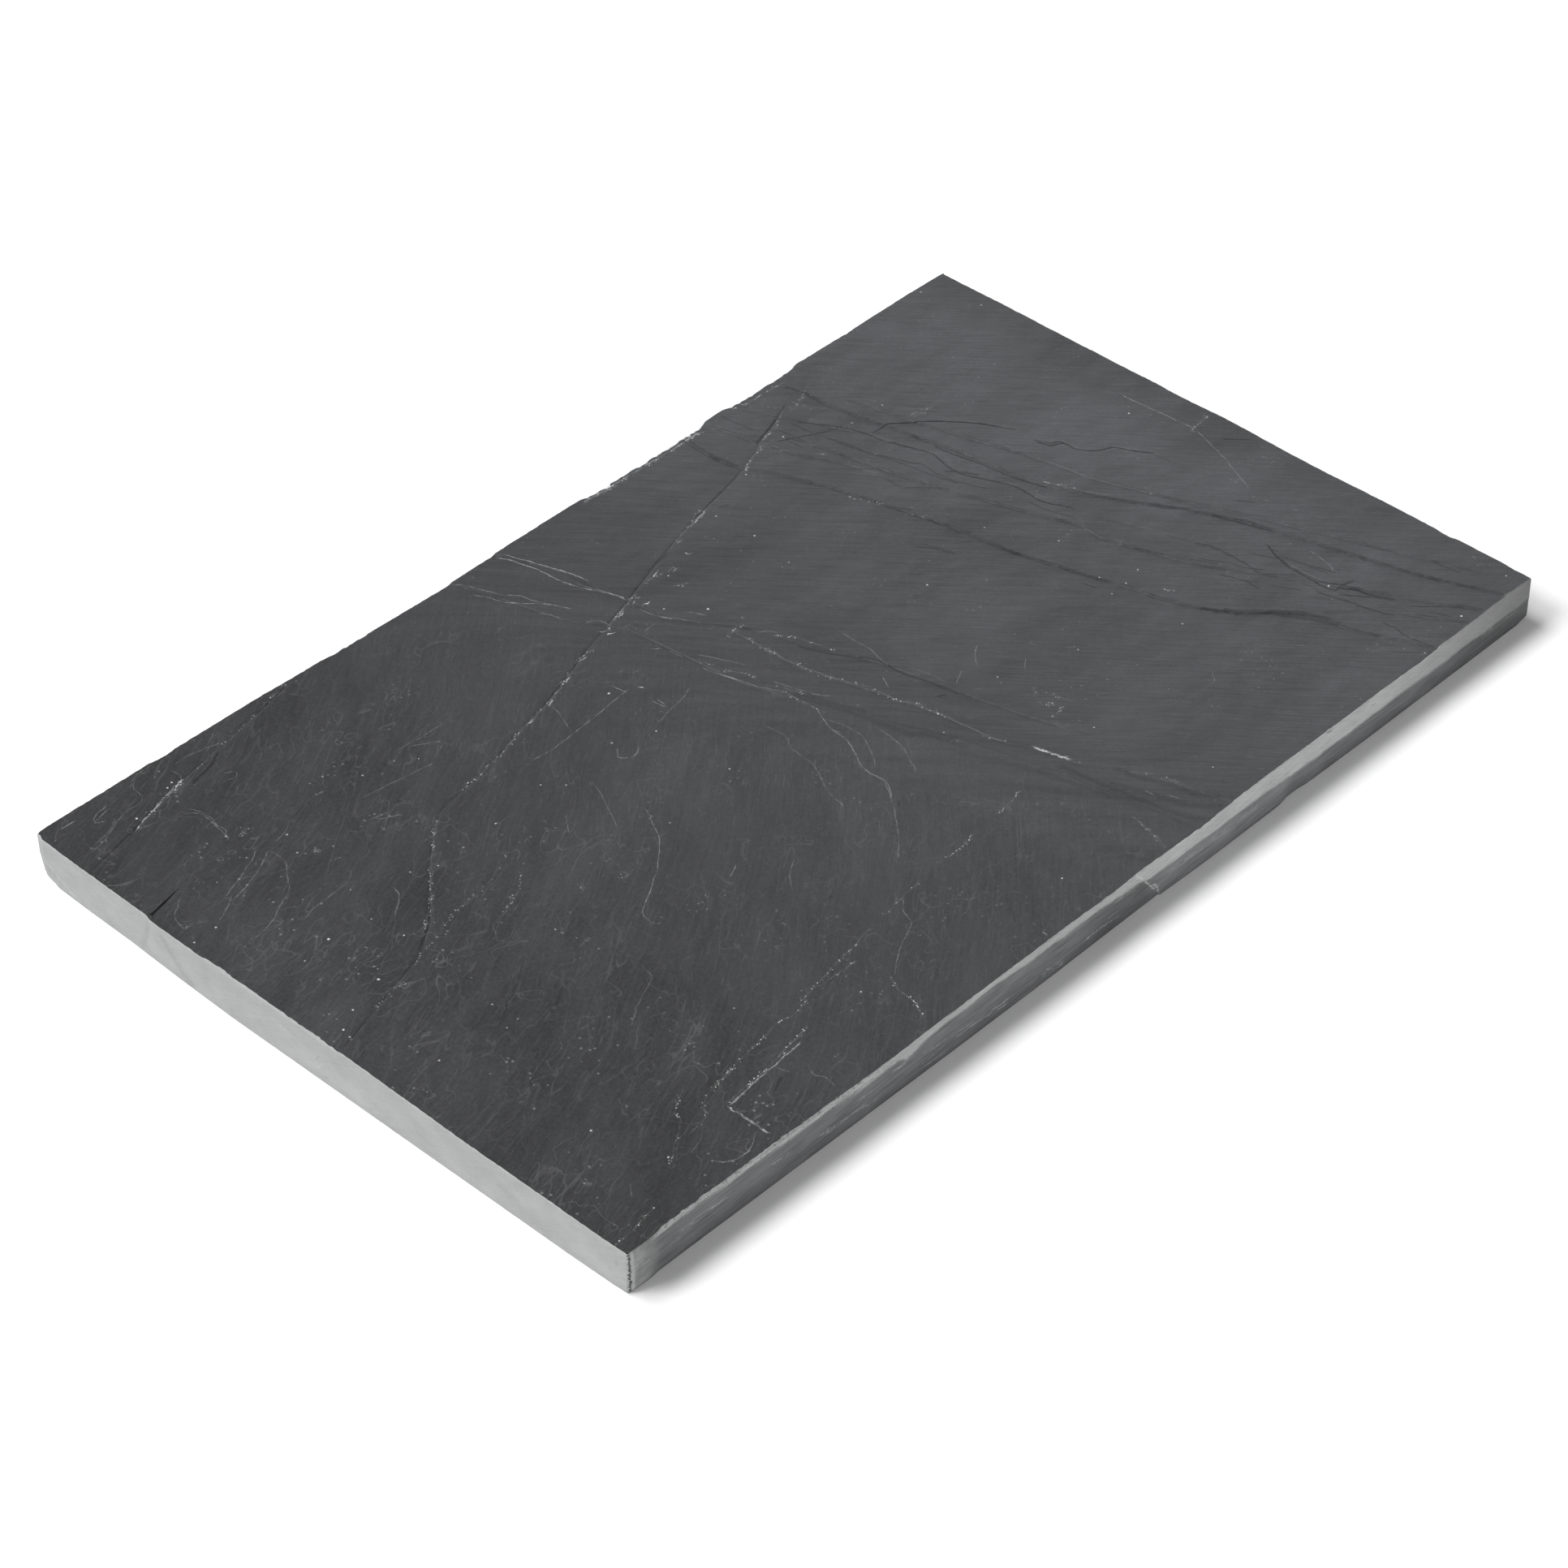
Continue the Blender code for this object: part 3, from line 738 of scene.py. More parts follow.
# How strokes are drawn, in half widths from their middle: where a line and its grains fade out.
PALE_LINE_EDGE = (0.1, 0.62)
PALE_GRAIN_EDGE = (0.7, 2.3)
GRIT_BREAKS_LINE = 0.86
DARK_LINE_EDGE = (0.15, 1.15)
DARK_WAVER = 0.65
STRAND_LENGTH = 45.0
STRANDS = 2.0
SPECK_EDGE = (0.4, 1.0)
SPECK_RAGGED = 1.2
DOT_EDGE = (0.22, 0.42)

# Faint lips of the riven face lie where a slow noise crosses its middle: the lie of the noise, its length and
# width, and the lips' thinness and strength.
FAINT_LIPS = [
    ("flow", 60.0, 8.0, 0.016, 0.03),
    ("flow", 110.0, 21.0, 0.008, 0.06),
    ("curled", 46.0, 30.0, 0.006, 0.09),
    ("curled", 22.0, 15.0, 0.007, 0.03),
]

# Colours, as linear values, and the tone at each end of the riven face.
RIVEN_GREY = (0.0580, 0.0592, 0.0634)
RIVEN_SHEEN = 0.35
# Painted shading: the riven face is darkened towards its near end and lightened towards its far end.
NEAR_END_SHADED_TONE = 0.385
FAR_END_LIT_TONE = 1.27
PALE_MARK = (0.55, 0.56, 0.56)
DARK_MARK = (0.012, 0.0125, 0.0135)
SAWN_GREY = (0.345, 0.352, 0.3485)
SNAPPED_GREY = (0.115, 0.1178, 0.1206)
# The snapped stone darkens to the foot grey towards the floor: partly its own colour, partly painted shade.
SNAPPED_FOOT_GREY = (0.090, 0.0923, 0.0952)
CRUSHED_STONE = (0.56, 0.57, 0.565)

# Where the stone's look changes, along x. Four distances are the start and end of a rise and of a fall.
NEAR_END = (110.0, 270.0)
NEAR_FRONT = (14.0, 24.0, 190.0, 230.0)
CORNER_PALE = (9.0, 25.0)
CORNER_BLOTCH = (2.5, 4.0, 16.0, 26.0)
BEFORE_BREAK = (365.0, 400.0, 424.0, 436.0)
AFTER_BREAK = (432.0, 444.0, 530.0, 640.0)
PAST_BREAK = (410.0, 450.0)
FAR_SHADE = (640.0, 800.0)
FAR_SNAPPED_SHADE = (670.0, 770.0)
FRONT_DEPTH = (3.0, 5.0)
# Height over which the front's foot is darkened by painted contact shade.
FOOT_SHADE = 2.2

# The camera: its place in the corner frame, its aim, and its focal length in widths of the square frame.
CAMERA_PLACE = (-1195.863, -1297.682, 1875.006)
CAMERA_YAW = 44.480
CAMERA_PITCH = 40.648
CAMERA_ROLL = -1.034
CAMERA_FOCAL_WIDTHS = 3.0118
SENSOR_MM = 36.0

# The floor's size in metres and its colour, and the sky: white up to one height, and dim from another.
FLOOR_SIZE = 30.0
FLOOR_WHITE = (0.92, 0.92, 0.92)
SKY_WHITE_TO = 0.10
SKY_DIM_FROM = 0.40
SKY_DIM = 0.13

# The soft suns: name, azimuth from +X towards +Y, elevation, strength and angular size.
SUNS = [
    ("back_light", 100.0, 57.0, 1.6, 28.0),
    ("left_light", 144.0, 43.0, 2.4, 30.0),
    ("front_left_light", 210.0, 30.0, 0.25, 45.0),
    ("front_fill", -75.0, 7.0, 1.35, 50.0),
]


def smoothstep(t):
    t = np.clip(t, 0.0, 1.0)
    return t * t * (3.0 - 2.0 * t)


def along(table, distance):
    """The value of a side's table at a distance, or at an array of distances."""
    return np.interp(distance, *zip(*table, strict=True))


def noise_field(points, wavelength, seed):
    """Smooth noise, about -1 to 1, at each point. The wavelength is one length, or one for each axis."""
    scaled = np.asarray(points) / np.array(wavelength)
    return np.array([noise.noise(Vector((*p, seed))) for p in scaled])


def turned(points, degrees):
    """Points in axes turned by an angle."""
    c, s = math.cos(math.radians(degrees)), math.sin(math.radians(degrees))
    return points @ np.array([(c, -s), (s, c)])


def smooth_line(points, step):
    """A Catmull-Rom curve through the points, with a point about every step."""
    p = np.array(points, float)
    p = np.vstack([2 * p[0] - p[1], p, 2 * p[-1] - p[-2]])
    line = []
    for a, b, c, d in zip(p, p[1:], p[2:], p[3:]):
        count = max(1, round(math.dist(b, c) / step))
        for t in np.arange(count) / count:
            line.append(0.5 * (2 * b + (c - a) * t + (2 * a - 5 * b + 4 * c - d) * t**2
                               + (3 * b - a - 3 * c + d) * t**3))
    line.append(p[-2])
    return np.array(line)


def nearest_on(line, points):
    """Signed distance to the line, arc length there, the line's length, and run past its ends.

    The distance is positive to the left of the line's travel.
    """
    best = np.full(len(points), np.inf)
    signed, run, over = np.zeros((3, len(points)))
    start = 0.0
    last = len(line) - 2
    for i, (a, b) in enumerate(zip(line, line[1:])):
        length = math.dist(a, b)
        tangent = (b - a) / length
        offset = points - a
        reach = offset @ tangent
        t = np.clip(reach, 0.0, length)
        distance = np.hypot(*(offset - t[:, None] * tangent).T)
        side = np.where(tangent[0] * offset[:, 1] - tangent[1] * offset[:, 0] < 0.0, -1.0, 1.0)
        past = np.zeros(len(points))
        if i == 0:
            past = np.maximum(past, -reach)
        if i == last:
            past = np.maximum(past, reach - length)
        closer = distance < best
        best[closer] = distance[closer]
        signed[closer] = (side * distance)[closer]
        run[closer] = start + t[closer]
        over[closer] = past[closer]
        start += length
    return signed, run, start, over


def base_height(x, y):
    """The top surface blended between the heights of its four arrises."""
    u = np.clip(x / LENGTH, 0.0, 1.0)
    v = np.clip(y / WIDTH, 0.0, 1.0)
    edges = ((1 - v) * along(FRONT_HEIGHT, x) + v * along(BACK_HEIGHT, x)
             + (1 - u) * along(LEFT_HEIGHT, y) + u * along(RIGHT_HEIGHT, y))
    corners = ((1 - u) * (1 - v) * FRONT_HEIGHT[0][1] + u * (1 - v) * FRONT_HEIGHT[-1][1]
               + (1 - u) * v * BACK_HEIGHT[0][1] + u * v * BACK_HEIGHT[-1][1])
    return edges - corners


def terraces(field, count, edge):
    """The field cut into level steps with short rises."""
    level = field * count
    whole = np.floor(level)
    return (whole + smoothstep((level - whole - 1.0 + edge) / edge)) / count


def fine_relief(points):
    """Flakes, shallow scoops and grain of the riven face, which turn from the near half to the far one."""
    halves = []
    for angle, (lengths, seed, steps, edge, height), (grain_lengths, grain_seed, grain_height) in RELIEF:
        spots = turned(points, angle)
        flakes = height * terraces(noise_field(spots, lengths, seed), steps, edge)
        halves.append(flakes + grain_height * noise_field(spots, grain_lengths, grain_seed))
    near, far = halves
    x, y = points.T
    blend = smoothstep(0.5 + (x + GRAIN_SWITCH_SLOPE * y - GRAIN_SWITCH) / (2 * GRAIN_BLEND))
    return (1 - blend) * near + blend * far + SCOOP_HEIGHT * noise_field(points, SCOOP_LENGTH, seed=4.4)


def open_fade(line, run, total, reach):
    """1 along a line's middle, easing to 0 at each end that stops inside the slab."""
    from_start, from_end = run, total - run
    if clearance(line[:1])[0] < STROKE_GAP:
        from_start = np.full_like(run, reach)
    if clearance(line[-1:])[0] < STROKE_GAP:
        from_end = np.full_like(run, reach)
    return smoothstep(np.minimum(from_start, from_end) / reach)


def step_across(signed, width, reach):
    """From -0.5 to 0.5 across a line, dying away to both sides."""
    ramp = np.clip(2.0 * signed / width, -1.0, 1.0)
    away = np.maximum(np.abs(signed) - width / 2, 0.0)
    return 0.5 * ramp * np.exp(-away / reach)


def top_height(points, ledges, seams):
    """The height of the riven top at an array of points."""
    x, y = points.T
    inside = np.minimum(np.minimum(x, LENGTH - x), np.minimum(y, WIDTH - y))
    waves = WAVE_HEIGHT * noise_field(points, WAVE_LENGTH, seed=0.3)
    height = base_height(x, y) + waves * np.clip(inside / WAVE_MARGIN, 0.0, 1.0) + fine_relief(points)
    uneven = 1.0 + UNEVENNESS * noise_field(points, UNEVEN_LENGTH, seed=6.6)
    for rise, line in ledges:
        signed, run, total, _ = nearest_on(line, points)
        shape = rise * uneven * step_across(signed, LEDGE_RAMP, LEDGE_REACH)
        height += shape * open_fade(line, run, total, LEDGE_FADE)
    for depth, width, rise, line in seams:
        signed, run, total, _ = nearest_on(line, points)
        groove = np.clip(1.0 - 2.0 * np.abs(signed) / width, 0.0, 1.0)
        groove *= depth * np.clip(uneven, *DEPTH_SHARES)
        shape = rise * step_across(signed, width, SEAM_REACH) - groove
        height += shape * open_fade(line, run, total, SEAM_FADE)
    return height


def clearance(points):
    """How far each point of the top lies inside the slab's upper outline."""
    x, y = points.T
    gaps = [y + along(FRONT_OUT, x), LENGTH - x + along(RIGHT_OUT, y),
            WIDTH - y + along(BACK_OUT, x), x + along(LEFT_OUT, y)]
    nearest = np.minimum.reduce(gaps)
    for i, (radius, _) in enumerate(CORNERS):
        a, b = radius - gaps[i - 1], radius - gaps[i]
        rounded = radius - np.hypot(a, b)
        nearest = np.where((a > 0) & (b > 0), np.minimum(nearest, rounded), nearest)
    return nearest


def outline():
    """Stations round the slab, as arrays: place, outward direction, side, distance in its tables, clip."""
    rows = []
    for i, side in enumerate(SIDES):
        start, direction, outward = (np.array(v, float) for v in (side.start, side.direction, side.outward))
        first, first_clip = CORNERS[i]
        last_radius, last_clip = CORNERS[(i + 1) % 4]
        last = side.length - last_radius
        for d in np.linspace(first, last, round((last - first) / EDGE_STEP) + 1):
            clip = max(first_clip * max(0.0, 1.0 - (d - first) / CLIP_REACH),
                       last_clip * max(0.0, 1.0 - (last - d) / CLIP_REACH))
            table_d = side.length - d if side.reverse else d
            rows.append((*(start + d * direction), *outward, i, table_d, clip))
        after = (i + 1) % 4
        turn_to = np.array(SIDES[after].outward, float)
        centre = start + side.length * direction - last_radius * (outward + direction)
        steps = max(2, round(last_radius * math.pi / 2 / CORNER_STEP))
        for t in np.arange(1, steps) / steps:
            out = math.cos(t * math.pi / 2) * outward + math.sin(t * math.pi / 2) * turn_to
            nearer = i if t < 0.5 else after
            at_end = (nearer == i) != SIDES[nearer].reverse
            d = SIDES[nearer].length if at_end else 0.0
            rows.append((*(centre + last_radius * out), *out, nearer, d, last_clip))
    rows = np.array(rows)
    return {"base": rows[:, :2], "out": rows[:, 2:4], "side": rows[:, 4].astype(int), "d": rows[:, 5],
            "clip": rows[:, 6]}


def side_values(stations, name):
    """One of the sides' tables, read at every station."""
    values = np.zeros(len(stations["d"]))
    for i, side in enumerate(SIDES):
        here = stations["side"] == i
        values[here] = along(getattr(side, name), stations["d"][here])
    return values


def stretch_values(stations, stretches):
    """The amount of the stretches at every station, tapering over the ends of each."""
    names = [side.name for side in SIDES]
    values = np.zeros(len(stations["d"]))
    for name, start, end, amount in stretches:
        here = stations["side"] == names.index(name)
        inside = np.minimum(stations["d"] - start, end - stations["d"])[here]
        values[here] += amount * np.clip(inside / STRETCH_TAPER + 0.5, 0.0, 1.0)
    return values


def wall_rows(stations, arris_height, wear):
    """Rings from just below the arris down to the sole: plan offset outward, and height."""
    top, crease, foot, crease_height = (
        side_values(stations, name) for name in ("top_out", "crease_out", "foot_out", "crease_height"))
    brow_height = arris_height - wear
    rows = [(top, brow_height)]
    for k in range(1, ROWS_ABOVE_CREASE + 1):
        t = k / ROWS_ABOVE_CREASE
        rows.append(((1 - t) * top + t * crease, (1 - t) * brow_height + t * crease_height))
    foot_out = foot - FOOT_CLIP_SHARE * stations["clip"]
    for k in range(1, ROWS_BELOW_CREASE + 1):
        t = k / ROWS_BELOW_CREASE
        rows.append(((1 - t) * crease + t * foot_out, (1 - t) * crease_height + t * FOOT_HEIGHT))
    rows.append((foot - SOLE_WEAR - stations["clip"], np.zeros_like(foot)))
    return rows


def wall_relief(stations, out, height, row, last):
    """The row's offset with the slanting break and the roughness of snapped and sawn stone added."""
    d = stations["d"]
    drop = np.clip((BREAK_HEIGHT - height) / BREAK_GROWTH, 0.0, 1.0)
    break_at = BREAK_FOOT + (BREAK_TOP - BREAK_FOOT) * height / BREAK_HEIGHT
    step = BREAK_STEP * drop * smoothstep(0.5 + (d - break_at) / BREAK_WIDTH)
    out = out + np.where(stations["side"] == FRONT, step, 0.0)
    if row in (0, last):
        return out
    place = np.column_stack([d, height])
    below = (side_values(stations, "crease_height") - height) / SNAP_BLEND
    snapped = smoothstep(below) * (stations["side"] != LEFT)
    rough = sum(depth * noise_field(place, lengths, seed) for depth, lengths, seed in SNAPPED_RELIEF)
    depth, lengths, seed = SAWN_RELIEF
    return out + snapped * rough + depth * noise_field(place, lengths, seed)


def offset_line(line, distance):
    """The line shifted to its left by a distance."""
    tangent = np.gradient(line, axis=0)
    tangent /= np.hypot(*tangent.T)[:, None]
    return line + distance * np.column_stack([-tangent[:, 1], tangent[:, 0]])


def scatter(step, margin, lines, gap, rng):
    """Jittered points over the top, clear of its outline and of the lines."""
    xs = np.arange(0.0, LENGTH, step)
    ys = np.arange(0.0, WIDTH, step * ROW_SPACING)
    points = np.array([(x + step * 0.5 * (row % 2), y) for row, y in enumerate(ys) for x in xs])
    points += rng.uniform(-JITTER, JITTER, points.shape) * step
    keep = clearance(points) > margin
    for line in lines:
        low, high = line.min(axis=0) - gap, line.max(axis=0) + gap
        near = keep & ((points > low) & (points < high)).all(axis=1)
        keep[near] &= np.abs(nearest_on(line, points[near])[0]) > gap
    return points[keep]


def triangulate(boundary, lines, loose):
    """Triangles inside the boundary. Returns the points, the faces, and where each boundary point went."""
    points = list(boundary)
    count = len(boundary)
    edges = [(i, (i + 1) % count) for i in range(count)]
    for line in lines:
        kept = clearance(line) > EDGE_STEP
        for i, (point, ok) in enumerate(zip(line, kept, strict=True)):
            if ok:
                points.append(point)
                if i and kept[i - 1]:
                    edges.append((len(points) - 2, len(points) - 1))
    points.extend(loose)
    out, _, faces, sources, _, _ = delaunay_2d_cdt([Vector(p) for p in points], edges, [], 1, MERGE_DISTANCE)
    place = {source: i for i, group in enumerate(sources) for source in group}
    return np.array([tuple(p) for p in out]), faces, [place[i] for i in range(count)]


def presence(distance):
    """1 near a mark, falling to 0 at the end of its reach."""
    return np.clip((STROKE_REACH - distance) / (STROKE_REACH - STROKE_CORE), 0.0, 1.0)


def place_strokes(points, strokes, count):
    """Layers of (distance over half width, strength, grit) at the points, nearby strokes in separate layers.

    The distances carry on past where the strength has died away, so that no face mixes them with a blank.
    """
    layers = np.zeros((count, len(points), 3))
    closest = np.full((count, len(points)), 2 * STROKE_REACH)
    taken = [np.empty((0, 2)) for _ in range(count)]
    wobble = np.column_stack([noise_field(points, WOBBLE_LENGTH, seed) for seed in (3.3, 6.1)])
    moved = points + STROKE_WOBBLE * wobble
    for half_width, grit, strength, nodes in sorted(strokes, key=lambda s: -s[2]):
        line = smooth_line(nodes, LINE_STEP)
        gaps = [np.hypot(*(other[:, None] - line).T).min() if len(other) else np.inf for other in taken]
        free = [i for i, gap in enumerate(gaps) if gap > STROKE_GAP]
        layer = free[0] if free else int(np.argmax(gaps))
        taken[layer] = np.vstack([taken[layer], line])
        low, high = line.min(axis=0) - 2 * STROKE_REACH, line.max(axis=0) + 2 * STROKE_REACH
        near = np.flatnonzero(((moved > low) & (moved < high)).all(axis=1))
        if not len(near):
            continue
        signed, _, _, over = nearest_on(line, moved[near])
        ok = np.abs(signed) < closest[layer, near]
        near, signed, over = near[ok], signed[ok], over[ok]
        closest[layer, near] = np.abs(signed)
        seen = strength * presence(np.abs(signed)) * np.clip(1.0 - over / STROKE_END, 0.0, 1.0)
        layers[layer, near] = np.column_stack([signed / half_width, seen, np.full(len(near), grit)])
    return layers


def place_specks(points, specks, count):
    """Layers of (x and y from the speck over its radius, strength) at the points round each speck."""
    layers = np.zeros((count, len(points), 3))
    closest = np.full((count, len(points)), 2 * STROKE_REACH)
    taken = [[] for _ in range(count)]
    for radius, strength, [centre] in specks:
        gaps = [min((math.dist(centre, other) for other in group), default=math.inf) for group in taken]
        layer = int(np.argmax([gap > STROKE_GAP for gap in gaps]))
        taken[layer].append(centre)
        offset = points - centre
        distance = np.hypot(*offset.T)
        near = distance < closest[layer]
        closest[layer, near] = distance[near]
        layers[layer, near] = np.column_stack([offset[near] / radius, strength * presence(distance[near])])
    return layers


def top_strokes():
    """The pale and dark strokes of the top, as (half width, grit, strength, line)."""
    pale = [(width, grit, share * strength, line) for width, grit, share, strokes in PALE_KINDS
            for strength, line in strokes]
    dark = [(LEDGE_LINE_WIDTH, LEDGE_LINE_GRIT, LEDGE_LINE_SHADE * shade, line) for _, shade, line in LEDGES]
    dark += [(0.5 * width, grit, shade, line) for _, width, _, shade, grit, line in SEAMS]
    dark += [(width, DARK_GRIT, DARK_STRENGTH * strength, line) for width, strength, line in DARKS]
    return pale, dark


def broad_shade(points):
    """How much lighter or darker than its neighbours each place on the riven face is, as a share."""
    shade = np.zeros(len(points))
    for long, wide, angle, change, [centre] in SHADES:
        away = turned(points[:, :2] - centre, angle)
        shade += change * np.exp(-(away[:, 0] / long) ** 2 - (away[:, 1] / wide) ** 2)
    return shade


def write(mesh, name, values):
    """Stores one number or one vector at every vertex."""
    kind, field = ("FLOAT", "value") if values.ndim == 1 else ("FLOAT_VECTOR", "vector")
    layer = mesh.attributes.new(name, kind, "POINT")
    layer.data.foreach_set(field, np.ascontiguousarray(values, np.float32).ravel())


def write_marks(mesh, points, top_count, stations, border, crushed, row_count):
    """Stores what the materials read: the place on the stone, its marks, its pale band, its crushed arris."""
    top = points[:top_count, :2]
    ring_count = len(stations["d"])
    wall = np.arange(top_count, top_count + row_count * ring_count)
    side = np.tile(stations["side"], row_count)
    counts = {"pale": PALE_LAYERS, "dark": DARK_LAYERS, "speck": SPECK_LAYERS}
    layers = {kind: np.zeros((count, len(points), 3)) for kind, count in counts.items()}
    pale, dark = top_strokes()
    layers["pale"][:, :top_count] = place_strokes(top, pale, PALE_LAYERS)
    layers["dark"][:, :top_count] = place_strokes(top, dark, DARK_LAYERS)
    layers["speck"][:, :top_count] = place_specks(top, SPECKS, SPECK_LAYERS)
    for number, axis, kind, strokes in ((FRONT, 0, "pale", FRONT_PALE), (FRONT, 0, "dark", FRONT_DARK),
                                        (LEFT, 1, "pale", LEFT_PALE), (LEFT, 1, "dark", LEFT_DARK)):
        here = wall[side == number]
        layers[kind][:, here] = place_strokes(points[here][:, [axis, 2]], strokes, counts[kind])
    for kind, values in layers.items():
        for i, layer in enumerate(values):
            write(mesh, f"{kind}_{i}", layer)

    d = np.tile(stations["d"], row_count)
    band_foot = np.where(side == FRONT, along(PALE_BAND_FOOT, d), along(OTHER_CREASE_HEIGHT, d))
    band = np.full(len(points), ALL_SAWN)
    band[wall] = np.where(side == LEFT, ALL_SAWN, points[wall, 2] - band_foot)
    crush = np.zeros(len(points))
    crush[border] = crushed
    crush[wall[:ring_count]] = crushed
    attributes = {"band": band, "crushed": crush, "shade": broad_shade(points), "place": points}
    for name, values in attributes.items():
        write(mesh, name, values)


def build_stone(corner):
    """The stone's mesh, and the vertex data that its materials read."""
    rng = np.random.default_rng(SEED)
    ledges = [(rise, smooth_line(line, CURVE_STEP)) for rise, _, line in LEDGES]
    seams = [(depth, width, rise, smooth_line(line, CURVE_STEP)) for depth, width, rise, _, _, line in SEAMS]
    lips = [offset_line(smooth_line(line, LINE_STEP), side * LEDGE_RAMP / 2) for _, _, line in LEDGES
            for side in (-1, 1)]
    lips += [offset_line(smooth_line(line, LINE_STEP), side * width / 2) for _, width, _, _, _, line in SEAMS
             for side in (-1, 0, 1)]
    middles = [line for *_, line in ledges + seams]

    stations = outline()
    base = stations["base"]
    count = len(base)
    crushed = stretch_values(stations, CRUSHED)
    ragged = sum(depth * np.abs(noise_field(base, length, seed)) for depth, length, seed in RAGGED_NOISE)
    spalled = stretch_values(stations, SPALLS)
    wear = ARRIS_WEAR * (ARRIS_LEAST + ragged) + spalled * (SPALL_LEAST + SPALL_RAGGED * ragged)
    arris = base + (side_values(stations, "top_out") - wear)[:, None] * stations["out"]

    loose = scatter(GRID_STEP, GRID_STEP * EDGE_MARGIN, middles, LINE_GAP, rng)
    plan, top_faces, border = triangulate(arris, lips, loose)
    heights = top_height(plan, ledges, seams)
    rows = wall_rows(stations, heights[border], wear)
    parts = [np.column_stack([plan, heights])]
    for row, (out, height) in enumerate(rows):
        out = wall_relief(stations, out, height, row, len(rows) - 1)
        parts.append(np.column_stack([base + out[:, None] * stations["out"], height]))

    sole = parts[-1][:, :2]
    under = scatter(UNDERSIDE_STEP, UNDERSIDE_STEP, [], 0.0, rng)
    sole_plan, sole_faces, sole_border = triangulate(sole, [], under)
    inner = np.setdiff1d(np.arange(len(sole_plan)), sole_border)
    hollow = np.clip(HOLLOW_WAVE * noise_field(sole_plan[inner], HOLLOW_LENGTH, seed=4.8), 0.0, HOLLOW_DEPTH)
    parts.append(np.column_stack([sole_plan[inner], hollow]))

    faces = [list(face) for face in top_faces]
    upper = np.array(border)
    start = len(plan)
    ring = np.arange(count)
    after = (ring + 1) % count
    for _ in rows:
        lower = start + ring
        quads = np.column_stack([upper, lower, lower[after], upper[after]])
        for (a, b, c, d), flip in zip(quads.tolist(), rng.random(count) < 0.5, strict=True):
            faces += [[a, b, c], [a, c, d]] if flip else [[a, b, d], [b, c, d]]
        upper = lower
        start += count
    wall_faces = len(faces)
    index = np.empty(len(sole_plan), int)
    index[sole_border] = upper
    index[inner] = start + np.arange(len(inner))
    faces += [index[list(reversed(face))].tolist() for face in sole_faces]

    points = np.vstack(parts)
    mesh = bpy.data.meshes.new("slab_stone")
    mesh.from_pydata(((points + corner) * MM).tolist(), [], faces)
    slots = np.zeros(len(faces), np.int32)
    slots[len(top_faces):wall_faces] = 1
    mesh.polygons.foreach_set("material_index", slots)
    write_marks(mesh, points, len(plan), stations, border, crushed, len(rows))
    return mesh


class Wire:
    """An output of a node. Arithmetic with it adds the math nodes that work it out."""

    def __init__(self, nodes, socket):
        self.nodes = nodes
        self.socket = socket

    def __add__(self, other):
        return self.nodes.math("ADD", self, other)

    def __sub__(self, other):
        return self.nodes.math("SUBTRACT", self, other)

    def __rsub__(self, other):
        return self.nodes.math("SUBTRACT", other, self)

    def __mul__(self, other):
        return self.nodes.math("MULTIPLY", self, other)

    def __truediv__(self, other):
        return self.nodes.math("DIVIDE", self, other)

    def __abs__(self):
        return self.nodes.math("ABSOLUTE", self)

    def sibling(self, output):
        """Another output of the same node."""
        return Wire(self.nodes, self.socket.node.outputs[output])


